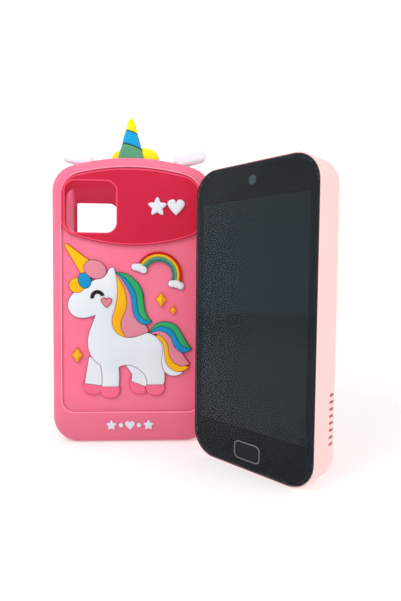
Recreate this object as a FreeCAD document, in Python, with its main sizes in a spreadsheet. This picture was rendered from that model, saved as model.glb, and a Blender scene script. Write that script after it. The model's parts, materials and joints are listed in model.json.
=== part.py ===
"""Toy cell phone with a soft unicorn case that stands beside it, as a parametric FreeCAD document.

The phone is modelled lying on its back: x across, y from its foot to its head, z from its back to its glass.
The case is modelled the same way, with z from its open side to its decorated side. Placements stand both up.
The row's origin is the middle of the phone's foot, +Z is up, and the case faces -Y. Sizes are in millimetres.
"""

import FreeCAD, Part
import math
import os

import Sketcher
from FreeCAD import Placement, Rotation, Vector

SIZES = {
    # how the two things stand
    "phone_turn": (46.6, "degrees the phone's front is turned from the case's decorated side"),
    "case_aside": (52.7, "from the phone's middle to the case's middle, along -X"),
    "case_behind": (25.5, "from the phone's middle to the case's decorated side, along +Y"),
    # phone housing
    "phone_width": (58, "across the phone"),
    "phone_height": (119, "foot to head"),
    "phone_depth": (14.5, "back to glass"),
    "phone_corner": (11, "corner radius seen from the front"),
    "back_round": (1.5, "rounding round the back"),
    "shell_wall": (1.6, "side wall and floor of the rear shell"),
    "seam_level": (11.8, "where the rear shell ends and the front frame begins"),
    "rim_level": (13.9, "front of the frame's rim"),
    "rim_round": (0.5, "rounding of the frame's rim"),
    "inner_gap": (0.1, "clearance of parts that sit inside others"),
    # front stack
    "glass_width": (56.8, "cover glass"),
    "glass_height": (117.8, "cover glass"),
    "glass_corner": (10.4, "cover glass"),
    "glass_thick": (1.1, "cover glass"),
    "glass_round": (0.35, "rounding of the glass's front edge"),
    "rebate_level": (13.1, "floor of the rebate that the glass is taped to"),
    "tape_width": (1, "width of the tape ring"),
    "mask_thick": (0.15, "printed black border behind the glass"),
    "screen_width": (49.8, "lit area of a 4 inch display"),
    "screen_height": (88.6, "lit area of a 4 inch display"),
    "screen_middle": (60.6, "height of the lit area's middle"),
    "display_width": (51.6, "display module"),
    "display_height": (95, "display module"),
    "tray_width": (52.6, "opening of the frame that holds the display"),
    "tray_height": (112.6, "opening of the frame that holds the display"),
    "tray_corner": (8.3, "opening of the frame that holds the display"),
    "tray_level": (10.9, "floor of the display tray"),
    "frame_level": (9.7, "back of the frame's floor"),
    "eye_height": (112, "height of the front camera"),
    "eye_radius": (1.9, "clear hole in the border for the front camera"),
    # home key
    "home_middle": (7.8, "height of the home key's middle"),
    "home_width": (11.3, "home key"),
    "home_height": (6, "home key"),
    "home_corner": (1.6, "home key"),
    "home_top": (14.6, "front of the home key"),
    "ring_gap": (0.15, "clearance between the home key and its ring"),
    "ring_wide": (0.35, "width of the ring round the home key"),
    "key_flange": (1, "how far a key's flange stands out all round"),
    # board and what it carries
    "board_width": (52, "main board"),
    "board_height": (112, "main board"),
    "board_corner": (8, "main board"),
    "board_level": (8.2, "back of the main board"),
    "board_thick": (1, "main board"),
    "screw_across": (21.5, "screws, from the middle"),
    "screw_inset": (6.5, "screws, from the foot and the head"),
    "screw_radius": (0.8, "screw shank"),
    "screw_head": (1.6, "screw head radius"),
    "boss_radius": (2.2, "bosses that the screws pass"),
    "battery_width": (38, "battery pouch"),
    "battery_height": (58, "battery pouch"),
    "battery_thick": (4.6, "battery pouch"),
    "battery_across": (-3.4, "battery's middle"),
    "battery_middle": (59, "battery's middle"),
    # keys on the side
    "key_level": (6, "middle of the side keys, from the back"),
    "key_thick": (3, "side keys, in the phone's depth"),
    "key_proud": (0.7, "how far side keys stand out"),
    "volume_length": (10, "volume keys"),
    "volume_up_height": (92, "volume up key's middle"),
    "volume_down_height": (79, "volume down key's middle"),
    "power_length": (8, "power key"),
    "power_height": (62, "power key's middle"),
    # memory card
    "card_width": (11, "memory card"),
    "card_length": (14, "memory card"),
    "card_thick": (0.8, "memory card"),
    "card_across": (8.5, "memory card's middle"),
    "card_level": (7.2, "memory card's middle, from the back"),
    # openings of the shell
    "slot_count": (8, "speaker slots"),
    "slot_pitch": (2.55, "speaker slots"),
    "slot_first": (15.8, "height of the lowest speaker slot"),
    "slot_level": (3.2, "middle of the speaker slots, from the back"),
    "slot_length": (3, "speaker slots"),
    "slot_wide": (1.2, "speaker slots"),
    "port_across": (-10, "charging port's middle"),
    "port_level": (6.6, "charging port's middle, from the back"),
    "port_width": (9, "charging port"),
    "port_thick": (3.2, "charging port"),
    "mic_across": (8, "microphone hole"),
    # rear camera
    "lens_middle": (96.3, "height of the rear camera's middle"),
    "lens_across": (16.5, "rear camera's middle"),
    "lens_spacing": (4.2, "each lens, from the rear camera's middle"),
    "lens_radius": (3.2, "rear lens window"),
    "island_width": (17, "rear camera island"),
    "island_height": (11, "rear camera island"),
    "island_corner": (4, "rear camera island"),
    "island_proud": (0.8, "how far the island stands out of the back"),
    # case
    "case_width": (71, "across the case"),
    "case_height": (127.9, "foot to crown"),
    "case_depth": (20.5, "open side to decorated side"),
    "case_foot_corner": (11.5, "lower corner radius"),
    "case_top_corner": (12, "upper corner radius"),
    "case_crown": (95, "radius of the arched top"),
    "case_front_round": (4.5, "rounding round the decorated side"),
    "case_rear_round": (2.2, "rounding round the open side"),
    "pocket_width": (58.4, "pocket for the phone"),
    "pocket_height": (119.4, "pocket for the phone"),
    "pocket_corner": (11.2, "pocket for the phone"),
    "pocket_foot": (4.5, "height of the pocket's foot"),
    "pocket_floor": (16.4, "level of the pocket's floor"),
    "lip_thick": (1.5, "lip that holds the phone in"),
    "lip_inset": (1, "how far the lip reaches over the phone"),
    "recess_level": (19.7, "level of the sunk field that the pictures stand on"),
    "recess_width": (61.8, "sunk field"),
    "recess_foot": (14.2, "sunk field"),
    "recess_crown": (123.2, "sunk field"),
    "panel_width": (61.4, "crimson panel round the camera window"),
    "panel_foot": (88.9, "crimson panel"),
    "panel_crown": (122.3, "crimson panel"),
    "panel_level": (21.5, "front of the crimson panel"),
    "panel_round": (0.5, "rounding of the panel's front edge"),
    "window_across": (-17.8, "middle of the camera window's mouth"),
    "window_middle": (105.4, "middle of the camera window's mouth"),
    "window_size": (22.8, "camera window's mouth, each way"),
    "window_corner": (4.8, "camera window's mouth"),
    "window_inner_left": (-27.4, "left edge of the window at the pocket"),
    "window_inner_top": (107.5, "top edge of the window at the pocket"),
    "window_inner_corner": (4.2, "camera window at the pocket"),
    "relief_thick": (1.3, "pictures on the case"),
    "inlay_thick": (0.3, "thin pieces on top of the pictures"),
    "horn_across": (-1.5, "middle of the standing horn"),
    "horn_level": (9, "middle of the standing horn, from the open side"),
    "horn_radius": (6.9, "foot of the standing horn"),
    "horn_tip_radius": (1.4, "round tip of the standing horn"),
    "horn_top": (147.8, "top of the standing horn"),
}

doc = FreeCAD.newDocument("toy_phone")
sheet = doc.addObject("Spreadsheet::Sheet", "sizes")
for row, (alias, (number, note)) in enumerate(SIZES.items(), start=1):
    sheet.set(f"A{row}", alias)
    sheet.set(f"B{row}", str(number))
    sheet.set(f"C{row}", note)
    sheet.setAlias(f"B{row}", alias)
doc.recompute()

NODES = []


def value(expression):
    """What an expression over the sheet comes to."""
    return float(sheet.evalExpression(str(expression)))


def S(alias):
    """A cell of the sheet, for use in an expression."""
    return f"sizes.{alias}"


PHONE_POSE = Placement(Vector(0, 0, 0), Rotation(Vector(0, 0, 1), -value(S("phone_turn")))) * Placement(
    Vector(0, value("sizes.phone_depth / 2"), 0), Rotation(Vector(1, 0, 0), 90)
)
CASE_POSE = Placement(
    Vector(-value(S("case_aside")), value("sizes.case_behind + sizes.case_depth"), 0),
    Rotation(Vector(1, 0, 0), 90),
)


def node(thing, label, pose):
    """Files a finished object as one of the assembly's named sub-parts."""
    thing.Label = label
    thing.Placement = pose
    NODES.append(thing)
    return thing


# ---------------------------------------------------------------- PartDesign helpers


def new_body(label):
    return doc.addObject("PartDesign::Body", label)


def sketch_on(body, role, level="0"):
    """A sketch on one of the body's own origin planes, moved along that plane's normal."""
    sketch = body.newObject("Sketcher::SketchObject", "Sketch")
    plane = next(f for f in body.Origin.OriginFeatures if f.Role == role)
    sketch.AttachmentSupport = (plane, "")
    sketch.MapMode = "FlatFace"
    sketch.setExpression("AttachmentOffset.Base.z", str(level))
    return sketch


def constrain(sketch, kind, *what, size=None):
    """Adds a constraint, bound to an expression where it has a size."""
    number = () if size is None else (value(size),)
    index = sketch.addConstraint(Sketcher.Constraint(kind, *what, *number))
    if size is not None:
        sketch.setExpression(f"Constraints[{index}]", str(size))


def fix_point(sketch, geometry, point, across=None, up=None):
    """Fixes a point's distances from the sketch's origin. One that is zero goes on the axis itself."""
    for kind, axis, size in (("DistanceX", -2, across), ("DistanceY", -1, up)):
        if size is None:
            continue
        if abs(value(size)) < 1e-9:
            constrain(sketch, "PointOnObject", geometry, point, axis)
        else:
            constrain(sketch, kind, -1, 1, geometry, point, size=size)


def line(x1, y1, x2, y2):
    return Part.LineSegment(Vector(x1, y1, 0), Vector(x2, y2, 0))


def arc(x, y, radius, start, end):
    """An arc that turns anticlockwise, with its angles in degrees."""
    circle = Part.Circle(Vector(x, y, 0), Vector(0, 0, 1), radius)
    return Part.ArcOfCircle(circle, math.radians(start), math.radians(end))


def join_ring(sketch, first, count):
    """Makes a ring of lines and arcs that follow each other tangent end to end."""
    for i in range(count):
        constrain(sketch, "Tangent", first + i, 2, first + (i + 1) % count, 1)


def rounded_box(sketch, width, height, radius, across="0", up="0"):
    """A rounded rectangle centred on (across, up). Every size is an expression."""
    w, h, r, x, y = (value(e) for e in (width, height, radius, across, up))
    left, right, low, high = x - w / 2, x + w / 2, y - h / 2, y + h / 2
    first = sketch.GeometryCount
    sketch.addGeometry(
        [
            line(left + r, low, right - r, low),
            arc(right - r, low + r, r, -90, 0),
            line(right, low + r, right, high - r),
            arc(right - r, high - r, r, 0, 90),
            line(right - r, high, left + r, high),
            arc(left + r, high - r, r, 90, 180),
            line(left, high - r, left, low + r),
            arc(left + r, low + r, r, 180, 270),
        ],
        False,
    )
    join_ring(sketch, first, 8)
    constrain(sketch, "Horizontal", first)
    constrain(sketch, "Vertical", first + 2)
    constrain(sketch, "Horizontal", first + 4)
    constrain(sketch, "Vertical", first + 6)
    for corner in (3, 5, 7):
        constrain(sketch, "Equal", first + 1, first + corner)
    constrain(sketch, "Radius", first + 1, size=radius)
    constrain(sketch, "DistanceX", first + 6, 1, first + 2, 1, size=width)
    constrain(sketch, "DistanceY", first, 1, first + 4, 1, size=height)
    fix_point(sketch, first + 2, 1, across=f"({across}) + ({width}) / 2")
    fix_point(sketch, first + 4, 1, up=f"({up}) + ({height}) / 2")


def disc(sketch, radius, across="0", up="0"):
    index = sketch.addGeometry(
        Part.Circle(Vector(value(across), value(up), 0), Vector(0, 0, 1), value(radius)), False
    )
    constrain(sketch, "Radius", index, size=radius)
    fix_point(sketch, index, 3, across, up)


def arched_box(sketch, width, foot, crown, foot_corner, top_corner, crown_arc, foot_arc=None):
    """A shield shape, symmetric about the y axis: upright sides, an arched top, a straight or bowed foot."""
    half, low, high = value(width) / 2, value(foot), value(crown)
    r_foot, r_top, big = value(foot_corner), value(top_corner), value(crown_arc)
    top_x, centre = half - r_top, high - big
    top_y = centre + math.sqrt((big - r_top) ** 2 - top_x**2)
    top_turn = math.degrees(math.atan2(top_y - centre, top_x))
    foot_x = half - r_foot
    if foot_arc is None:
        foot_y, foot_turn = low + r_foot, 90
        foot_edge = line(-foot_x, low, foot_x, low)
    else:
        sag = value(foot_arc)
        foot_y = low + sag - math.sqrt((sag - r_foot) ** 2 - foot_x**2)
        foot_turn = math.degrees(math.atan2(low + sag - foot_y, foot_x))
        foot_edge = arc(0, low + sag, sag, 180 + foot_turn, 360 - foot_turn)
    first = sketch.GeometryCount
    sketch.addGeometry(
        [
            foot_edge,
            arc(foot_x, foot_y, r_foot, -foot_turn, 0),
            line(half, foot_y, half, top_y),
            arc(top_x, top_y, r_top, 0, top_turn),
            arc(0, centre, big, top_turn, 180 - top_turn),
            arc(-top_x, top_y, r_top, 180 - top_turn, 180),
            line(-half, top_y, -half, foot_y),
            arc(-foot_x, foot_y, r_foot, 180, 180 + foot_turn),
        ],
        False,
    )
    join_ring(sketch, first, 8)
    constrain(sketch, "Vertical", first + 2)
    constrain(sketch, "Vertical", first + 6)
    constrain(sketch, "Radius", first + 1, size=foot_corner)
    constrain(sketch, "Equal", first + 1, first + 7)
    constrain(sketch, "Radius", first + 3, size=top_corner)
    constrain(sketch, "Equal", first + 3, first + 5)
    constrain(sketch, "Radius", first + 4, size=crown_arc)
    constrain(sketch, "PointOnObject", first + 4, 3, -2)
    fix_point(sketch, first + 4, 3, up=f"({crown}) - ({crown_arc})")
    fix_point(sketch, first + 2, 1, across=f"({width}) / 2")
    fix_point(sketch, first + 6, 1, across=f"-({width}) / 2")
    if foot_arc is None:
        constrain(sketch, "Horizontal", first)
        fix_point(sketch, first, 1, up=foot)
    else:
        constrain(sketch, "Radius", first, size=foot_arc)
        constrain(sketch, "PointOnObject", first, 3, -2)
        fix_point(sketch, first, 3, up=f"({foot}) + ({foot_arc})")


def extrude(body, kind, sketch, length, reverse=False):
    feature = body.newObject(f"PartDesign::{kind}", kind)
    feature.Profile = sketch
    feature.setExpression("Length", str(length))
    feature.Reversed = reverse
    sketch.Visibility = False
    doc.recompute()
    return feature


def pad(body, sketch, length, reverse=False):
    """Adds material along the sketch's normal, or against it if reversed."""
    return extrude(body, "Pad", sketch, length, reverse)


def pocket(body, sketch, length, upward=False):
    """Cuts against the sketch's normal, or along it if upward, and makes sure that something was cut."""
    before = body.Shape.Volume
    feature = extrude(body, "Pocket", sketch, length, upward)
    if body.Shape.Volume > before - 1e-6:
        raise RuntimeError(f"a pocket of {body.Label} cut nothing")
    return feature


def round_level(body, level, radius):
    """Rounds every edge of the body that lies wholly at one level."""
    z = value(level)
    names = [
        f"Edge{i}"
        for i, edge in enumerate(body.Tip.Shape.Edges, start=1)
        if abs(edge.BoundBox.ZMin - z) < 1e-4 and abs(edge.BoundBox.ZMax - z) < 1e-4
    ]
    feature = body.newObject("PartDesign::Fillet", "Fillet")
    feature.Base = (body.Group[body.Group.index(feature) - 1], names)
    feature.setExpression("Radius", str(radius))
    doc.recompute()


def row_of(body, feature, sketch, axis, length, count):
    """Repeats a feature along one axis of its sketch."""
    pattern = body.newObject("PartDesign::LinearPattern", "Row")
    pattern.Originals = [feature]
    pattern.Direction = (sketch, [axis])
    pattern.setExpression("Length", length)
    pattern.setExpression("Occurrences", count)
    body.Tip = pattern
    doc.recompute()


def plate(label, width, height, corner, low, high, across="0", up="0"):
    """A body that is one flat rounded plate between two levels."""
    body = new_body(label)
    outline = sketch_on(body, "XY_Plane", low)
    rounded_box(outline, width, height, corner, across, up)
    pad(body, outline, f"({high}) - ({low})")
    return body


# ---------------------------------------------------------------- Part helpers


def box(name, across, up, low, width, height, depth):
    """A box centred on (across, up) that stands on level low. Every size is an expression."""
    thing = doc.addObject("Part::Box", name)
    thing.setExpression("Length", str(width))
    thing.setExpression("Width", str(height))
    thing.setExpression("Height", str(depth))
    thing.setExpression("Placement.Base.x", f"({across}) - ({width}) / 2")
    thing.setExpression("Placement.Base.y", f"({up}) - ({height}) / 2")
    thing.setExpression("Placement.Base.z", str(low))
    return thing


def peg(name, across, up, low, radius, depth):
    """A cylinder along z."""
    thing = doc.addObject("Part::Cylinder", name)
    thing.setExpression("Radius", str(radius))
    thing.setExpression("Height", str(depth))
    thing.setExpression("Placement.Base.x", str(across))
    thing.setExpression("Placement.Base.y", str(up))
    thing.setExpression("Placement.Base.z", str(low))
    return thing


def fused(name, *things):
    whole = doc.addObject("Part::MultiFuse", name)
    whole.Shapes = list(things)
    return whole


def group(name, *things):
    """Separate solids that share one node."""
    whole = doc.addObject("Part::Compound", name)
    whole.Links = list(things)
    return whole


def less(name, base, tool):
    rest = doc.addObject("Part::Cut", name)
    rest.Base = base
    rest.Tool = tool
    return rest


def solid(name, shape):
    """A shape made by Part's own functions, as an object of the document."""
    thing = doc.addObject("Part::Feature", name)
    thing.Shape = shape
    return thing


# ---------------------------------------------------------------- phone: housing

PHONE_MIDDLE = "sizes.phone_height / 2"
SCREWS = [
    (f"{side} * sizes.screw_across", height)
    for side in (-1, 1)
    for height in ("sizes.screw_inset", "sizes.phone_height - sizes.screw_inset")
]


def rear_shell():
    """The pink tub: back, side walls and screw bosses, with its slots, key holes and camera window."""
    body = new_body("rear_shell")
    outline = sketch_on(body, "XY_Plane")
    rounded_box(outline, S("phone_width"), S("phone_height"), S("phone_corner"), up=PHONE_MIDDLE)
    pad(body, outline, S("seam_level"))
    round_level(body, "0", S("back_round"))
    hollow = sketch_on(body, "XY_Plane", S("seam_level"))
    rounded_box(
        hollow,
        "sizes.phone_width - 2 * sizes.shell_wall",
        "sizes.phone_height - 2 * sizes.shell_wall",
        "sizes.phone_corner - sizes.shell_wall",
        up=PHONE_MIDDLE,
    )
    pocket(body, hollow, "sizes.seam_level - sizes.shell_wall")
    bosses = sketch_on(body, "XY_Plane", "sizes.shell_wall / 2")
    shanks = sketch_on(body, "XY_Plane", S("board_level"))
    heads = sketch_on(body, "XY_Plane")
    for across, up in SCREWS:
        disc(bosses, S("boss_radius"), across, up)
        disc(shanks, "sizes.screw_radius + 0.2", across, up)
        disc(heads, "sizes.screw_head + 0.15", across, up)
    pad(body, bosses, "sizes.board_level - sizes.shell_wall / 2")
    pocket(body, shanks, S("board_level"))
    pocket(body, heads, "1.2", upward=True)
    window = sketch_on(body, "XY_Plane")
    rounded_box(
        window,
        "sizes.island_width - 1.6",
        "sizes.island_height - 1.6",
        "sizes.island_corner - 0.8",
        S("lens_across"),
        S("lens_middle"),
    )
    pocket(body, window, S("shell_wall"), upward=True)
    speaker_slots(body)
    side_holes(body)
    end_holes(body)
    return node(body, "rear_shell", PHONE_POSE)


def speaker_slots(body):
    """The row of short slots low on the right side."""
    slot = sketch_on(body, "YZ_Plane", "sizes.phone_width / 2 + 0.5")
    rounded_box(
        slot, S("slot_wide"), S("slot_length"), "sizes.slot_wide / 2 - 0.05", S("slot_first"), S("slot_level")
    )
    cut = pocket(body, slot, "sizes.shell_wall + 1")
    row_of(body, cut, slot, "H_Axis", "sizes.slot_pitch * (sizes.slot_count - 1)", S("slot_count"))


def side_holes(body):
    """Holes for the three keys, in the left side."""
    holes = sketch_on(body, "YZ_Plane", "-sizes.phone_width / 2 - 0.5")
    for length, up in (
        ("volume_length", "volume_up_height"),
        ("volume_length", "volume_down_height"),
        ("power_length", "power_height"),
    ):
        rounded_box(
            holes,
            f"sizes.{length} + 2 * sizes.inner_gap",
            "sizes.key_thick + 2 * sizes.inner_gap",
            "sizes.key_thick / 2",
            S(up),
            S("key_level"),
        )
    pocket(body, holes, "sizes.shell_wall + 1", upward=True)


def end_holes(body):
    """The charging port and the microphone hole in the foot, and the memory card's slot in the head."""
    holes = sketch_on(body, "XZ_Plane", "0.5")
    rounded_box(
        holes,
        "sizes.port_width + 0.4",
        "sizes.port_thick + 0.4",
        "sizes.port_thick / 2",
        S("port_across"),
        S("port_level"),
    )
    disc(holes, "0.6", S("mic_across"), S("port_level"))
    pocket(body, holes, "sizes.shell_wall + 1")
    slot = sketch_on(body, "XZ_Plane", "-sizes.phone_height - 0.5")
    rounded_box(
        slot,
        "sizes.card_width + 0.6",
        "sizes.card_thick + 0.5",
        "0.4",
        S("card_across"),
        S("card_level"),
    )
    pocket(body, slot, "sizes.shell_wall + 1", upward=True)


def front_frame():
    """The pink rim round the glass and the tray behind it, which the four screws bite into."""
    body = new_body("front_frame")
    rim = sketch_on(body, "XY_Plane", S("seam_level"))
    rounded_box(rim, S("phone_width"), S("phone_height"), S("phone_corner"), up=PHONE_MIDDLE)
    pad(body, rim, "sizes.rim_level - sizes.seam_level")
    round_level(body, S("rim_level"), S("rim_round"))
    inner = "2 * sizes.shell_wall + 2 * sizes.inner_gap"
    tub = sketch_on(body, "XY_Plane", S("frame_level"))
    rounded_box(
        tub,
        f"sizes.phone_width - ({inner})",
        f"sizes.phone_height - ({inner})",
        "sizes.phone_corner - sizes.shell_wall - sizes.inner_gap",
        up=PHONE_MIDDLE,
    )
    pad(body, tub, "sizes.seam_level - sizes.frame_level")
    rebate = sketch_on(body, "XY_Plane", S("rim_level"))
    rounded_box(
        rebate,
        "sizes.glass_width + sizes.inner_gap",
        "sizes.glass_height + sizes.inner_gap",
        "sizes.glass_corner + sizes.inner_gap / 2",
        up=PHONE_MIDDLE,
    )
    pocket(body, rebate, "sizes.rim_level - sizes.rebate_level")
    tray = sketch_on(body, "XY_Plane", S("rebate_level"))
    rounded_box(tray, S("tray_width"), S("tray_height"), S("tray_corner"), up=PHONE_MIDDLE)
    pocket(body, tray, "sizes.rebate_level - sizes.tray_level")
    bosses = sketch_on(body, "XY_Plane", S("frame_level"))
    pilots = sketch_on(body, "XY_Plane", S("frame_level"))
    for across, up in SCREWS:
        disc(bosses, S("boss_radius"), across, up)
        disc(pilots, "sizes.screw_radius + 0.05", across, up)
    pad(body, bosses, "12.9 - sizes.frame_level")
    pocket(body, pilots, "12.5 - sizes.frame_level", upward=True)
    openings = sketch_on(body, "XY_Plane", S("tray_level"))
    rounded_box(openings, "5.6", "5.6", "0.3", up=S("home_middle"))
    rounded_box(openings, "21", "1.4", "0.3", up="12.5")
    pocket(body, openings, "sizes.tray_level - sizes.frame_level")
    return node(body, "front_frame", PHONE_POSE)


# ---------------------------------------------------------------- phone: front stack

GLASS_BACK = "sizes.phone_depth - sizes.glass_thick"
HOLE_GROWTH = "2 * (sizes.ring_gap + sizes.ring_wide + 0.05)"


def cover_glass():
    body = plate(
        "cover_glass",
        S("glass_width"),
        S("glass_height"),
        S("glass_corner"),
        GLASS_BACK,
        S("phone_depth"),
        up=PHONE_MIDDLE,
    )
    round_level(body, S("phone_depth"), S("glass_round"))
    hole = sketch_on(body, "XY_Plane", S("phone_depth"))
    rounded_box(
        hole,
        f"sizes.home_width + {HOLE_GROWTH}",
        f"sizes.home_height + {HOLE_GROWTH}",
        f"sizes.home_corner + {HOLE_GROWTH} / 2",
        up=S("home_middle"),
    )
    pocket(body, hole, S("glass_thick"))
    return node(body, "cover_glass", PHONE_POSE)


def glass_tape():
    body = plate(
        "glass_tape",
        "sizes.glass_width - 0.4",
        "sizes.glass_height - 0.4",
        "sizes.glass_corner - 0.2",
        S("rebate_level"),
        GLASS_BACK,
        up=PHONE_MIDDLE,
    )
    hole = sketch_on(body, "XY_Plane", GLASS_BACK)
    rounded_box(
        hole,
        "sizes.glass_width - 0.4 - 2 * sizes.tape_width",
        "sizes.glass_height - 0.4 - 2 * sizes.tape_width",
        "sizes.glass_corner - 0.2 - sizes.tape_width",
        up=PHONE_MIDDLE,
    )
    pocket(body, hole, f"{GLASS_BACK} - sizes.rebate_level")
    return node(body, "glass_tape", PHONE_POSE)


def screen_mask():
    """The printed black border: clear over the display, the front camera and the home key."""
    body = plate(
        "screen_mask",
        "sizes.glass_width - 0.6 - 2 * sizes.tape_width",
        "sizes.glass_height - 0.6 - 2 * sizes.tape_width",
        "sizes.glass_corner - 0.3 - sizes.tape_width",
        f"{GLASS_BACK} - sizes.mask_thick",
        GLASS_BACK,
        up=PHONE_MIDDLE,
    )
    holes = sketch_on(body, "XY_Plane", GLASS_BACK)
    rounded_box(holes, S("screen_width"), S("screen_height"), "0.3", up=S("screen_middle"))
    disc(holes, S("eye_radius"), up=S("eye_height"))
    rounded_box(
        holes,
        f"sizes.home_width + {HOLE_GROWTH}",
        f"sizes.home_height + {HOLE_GROWTH}",
        f"sizes.home_corner + {HOLE_GROWTH} / 2",
        up=S("home_middle"),
    )
    pocket(body, holes, S("mask_thick"))
    return node(body, "screen_mask", PHONE_POSE)


def display_panel():
    body = plate(
        "display_panel",
        S("display_width"),
        S("display_height"),
        "0.6",
        S("tray_level"),
        f"{GLASS_BACK} - sizes.mask_thick",
        up=S("screen_middle"),
    )
    return node(body, "display_panel", PHONE_POSE)


def display_ribbon():
    """The flat cable: out of the display's foot, through the tray's slot, and along the board."""
    edge = "sizes.screen_middle - sizes.display_height / 2"
    root = box("ribbon_root", "0", f"{edge} - 0.35", "11.4", "20", "0.7", "0.15")
    drop = box("ribbon_drop", "0", f"{edge} - 0.625", "9.3", "20", "0.15", "2.25")
    run = box("ribbon_run", "0", f"{edge} + 5.1", "9.3", "20", "11.6", "0.15")
    return node(fused("display_ribbon", root, drop, run), "display_ribbon", PHONE_POSE)


def front_camera():
    block = box("camera_block", "0", S("eye_height"), S("tray_level"), "6", "6", "1.7")
    barrel = peg("camera_barrel", "0", S("eye_height"), "sizes.tray_level + 1.7", "1.6", "0.5")
    return node(fused("front_camera", block, barrel), "front_camera", PHONE_POSE)


def home_ring():
    growth = "2 * (sizes.ring_gap + sizes.ring_wide)"
    body = plate(
        "home_ring",
        f"sizes.home_width + {growth}",
        f"sizes.home_height + {growth}",
        f"sizes.home_corner + {growth} / 2",
        GLASS_BACK,
        "sizes.phone_depth + 0.12",
        up=S("home_middle"),
    )
    hole = sketch_on(body, "XY_Plane", "sizes.phone_depth + 0.12")
    rounded_box(
        hole,
        "sizes.home_width + 2 * sizes.ring_gap",
        "sizes.home_height + 2 * sizes.ring_gap",
        "sizes.home_corner + sizes.ring_gap",
        up=S("home_middle"),
    )
    pocket(body, hole, "sizes.glass_thick + 0.12")
    return node(body, "home_ring", PHONE_POSE)


def home_button():
    """The cap in its ring, and the flange behind the border that keeps it in."""
    body = plate(
        "home_button",
        S("home_width"),
        S("home_height"),
        S("home_corner"),
        "13.1",
        S("home_top"),
        up=S("home_middle"),
    )
    round_level(body, S("home_top"), "0.3")
    flange = sketch_on(body, "XY_Plane", "12.3")
    rounded_box(
        flange,
        "sizes.home_width + 2 * sizes.key_flange",
        "sizes.home_height + 2 * sizes.key_flange",
        "sizes.home_corner + sizes.key_flange",
        up=S("home_middle"),
    )
    pad(body, flange, "0.8")
    return node(body, "home_button", PHONE_POSE)


def home_switch():
    """The click switch on the board, just behind the home key's travel."""
    top = "sizes.board_level + sizes.board_thick"
    block = box("home_switch_block", "0", S("home_middle"), top, "5", "5", "2")
    plunger = peg("home_switch_plunger", "0", S("home_middle"), f"{top} + 2", "1.2", "0.6")
    return node(fused("home_switch", block, plunger), "home_switch", PHONE_POSE)


# ---------------------------------------------------------------- phone: inside


def main_board():
    body = plate(
        "main_board",
        S("board_width"),
        S("board_height"),
        S("board_corner"),
        S("board_level"),
        "sizes.board_level + sizes.board_thick",
        up=PHONE_MIDDLE,
    )
    holes = sketch_on(body, "XY_Plane", "sizes.board_level + sizes.board_thick")
    for across, up in SCREWS:
        disc(holes, "sizes.screw_radius + 0.3", across, up)
    pocket(body, holes, S("board_thick"))
    return node(body, "main_board", PHONE_POSE)


def board_parts():
    """What is soldered to the back of the board. A primitive's own placement is bound to cells, so each
    node is a group round its primitives, and the group carries the pose."""
    shield = box("shield_can", "-9.6", "100", "sizes.board_level - 1.6", "21", "16", "1.6")
    node(group("processor_shield", shield), "processor_shield", PHONE_POSE)
    memory = box("memory_chip", "8.5", "92.4", "sizes.board_level - 1", "8", "8", "1")
    driver = box("driver_chip", "4", "18", "sizes.board_level - 1", "10", "8", "1")
    node(group("board_chips", memory, driver), "board_chips", PHONE_POSE)
    power = box("power_connector", "-2", "24", "sizes.board_level - 1.6", "6", "3", "1.6")
    ribbon = box("ribbon_connector", "0", "12", "sizes.board_level - 1.2", "14", "2.6", "1.2")
    node(group("board_connectors", power, ribbon), "board_connectors", PHONE_POSE)
    sound = box("microphone_block", S("mic_across"), "3.4", "sizes.port_level - 0.6", "3.8", "3", "2.2")
    node(group("microphone", sound), "microphone", PHONE_POSE)


def battery():
    body = plate(
        "battery",
        S("battery_width"),
        S("battery_height"),
        "1.5",
        "sizes.shell_wall + 0.2",
        "sizes.shell_wall + 0.2 + sizes.battery_thick",
        S("battery_across"),
        S("battery_middle"),
    )
    return node(body, "battery", PHONE_POSE)


def battery_leads():
    """Two short wires that slope from the battery's foot up to its connector."""
    foot = value("sizes.battery_middle - sizes.battery_height / 2")
    start, run = Vector(0, foot + 1, 3.5), Vector(0, -6.5, 4.3)
    gap = Part.makeBox(10, foot - 25.5, 10, Vector(-5, 25.5, 0))
    wires = [Part.makeCylinder(0.45, run.Length, start + Vector(x, 0, 0), run) for x in (-3.2, -0.8)]
    wires = [wire.common(gap).Solids[0] for wire in wires]
    return node(solid("battery_leads", Part.makeCompound(wires)), "battery_leads", PHONE_POSE)


def speaker():
    """The speaker box behind the slots, with its mesh between the two."""
    height = "sizes.slot_first + sizes.slot_pitch * (sizes.slot_count - 1) / 2"
    wall = "sizes.phone_width / 2 - sizes.shell_wall"
    driver = box("speaker_box", f"{wall} - 5", height, "1.8", "8.4", "22", "5")
    node(group("speaker", driver), "speaker", PHONE_POSE)
    mesh = box("mesh_sheet", f"{wall} - 0.3", height, "1.7", "0.4", "21", "3.4")
    return node(group("speaker_mesh", mesh), "speaker_mesh", PHONE_POSE)


def usb_socket():
    """The charging socket: a rounded metal sleeve that is open towards the foot, with a tongue in it."""
    body = new_body("usb_socket")
    sleeve = sketch_on(body, "XZ_Plane", "-0.3")
    rounded_box(sleeve, S("port_width"), S("port_thick"), "1.3", S("port_across"), S("port_level"))
    pad(body, sleeve, "7.4", reverse=True)
    mouth = sketch_on(body, "XZ_Plane", "-0.3")
    rounded_box(
        mouth,
        "sizes.port_width - 0.6",
        "sizes.port_thick - 0.6",
        "1",
        S("port_across"),
        S("port_level"),
    )
    pocket(body, mouth, "6.9")
    tongue = sketch_on(body, "XZ_Plane", "-1.6")
    rounded_box(tongue, "6.6", "0.7", "0.2", S("port_across"), S("port_level"))
    pad(body, tongue, "6", reverse=True)
    return node(body, "usb_socket", PHONE_POSE)


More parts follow.
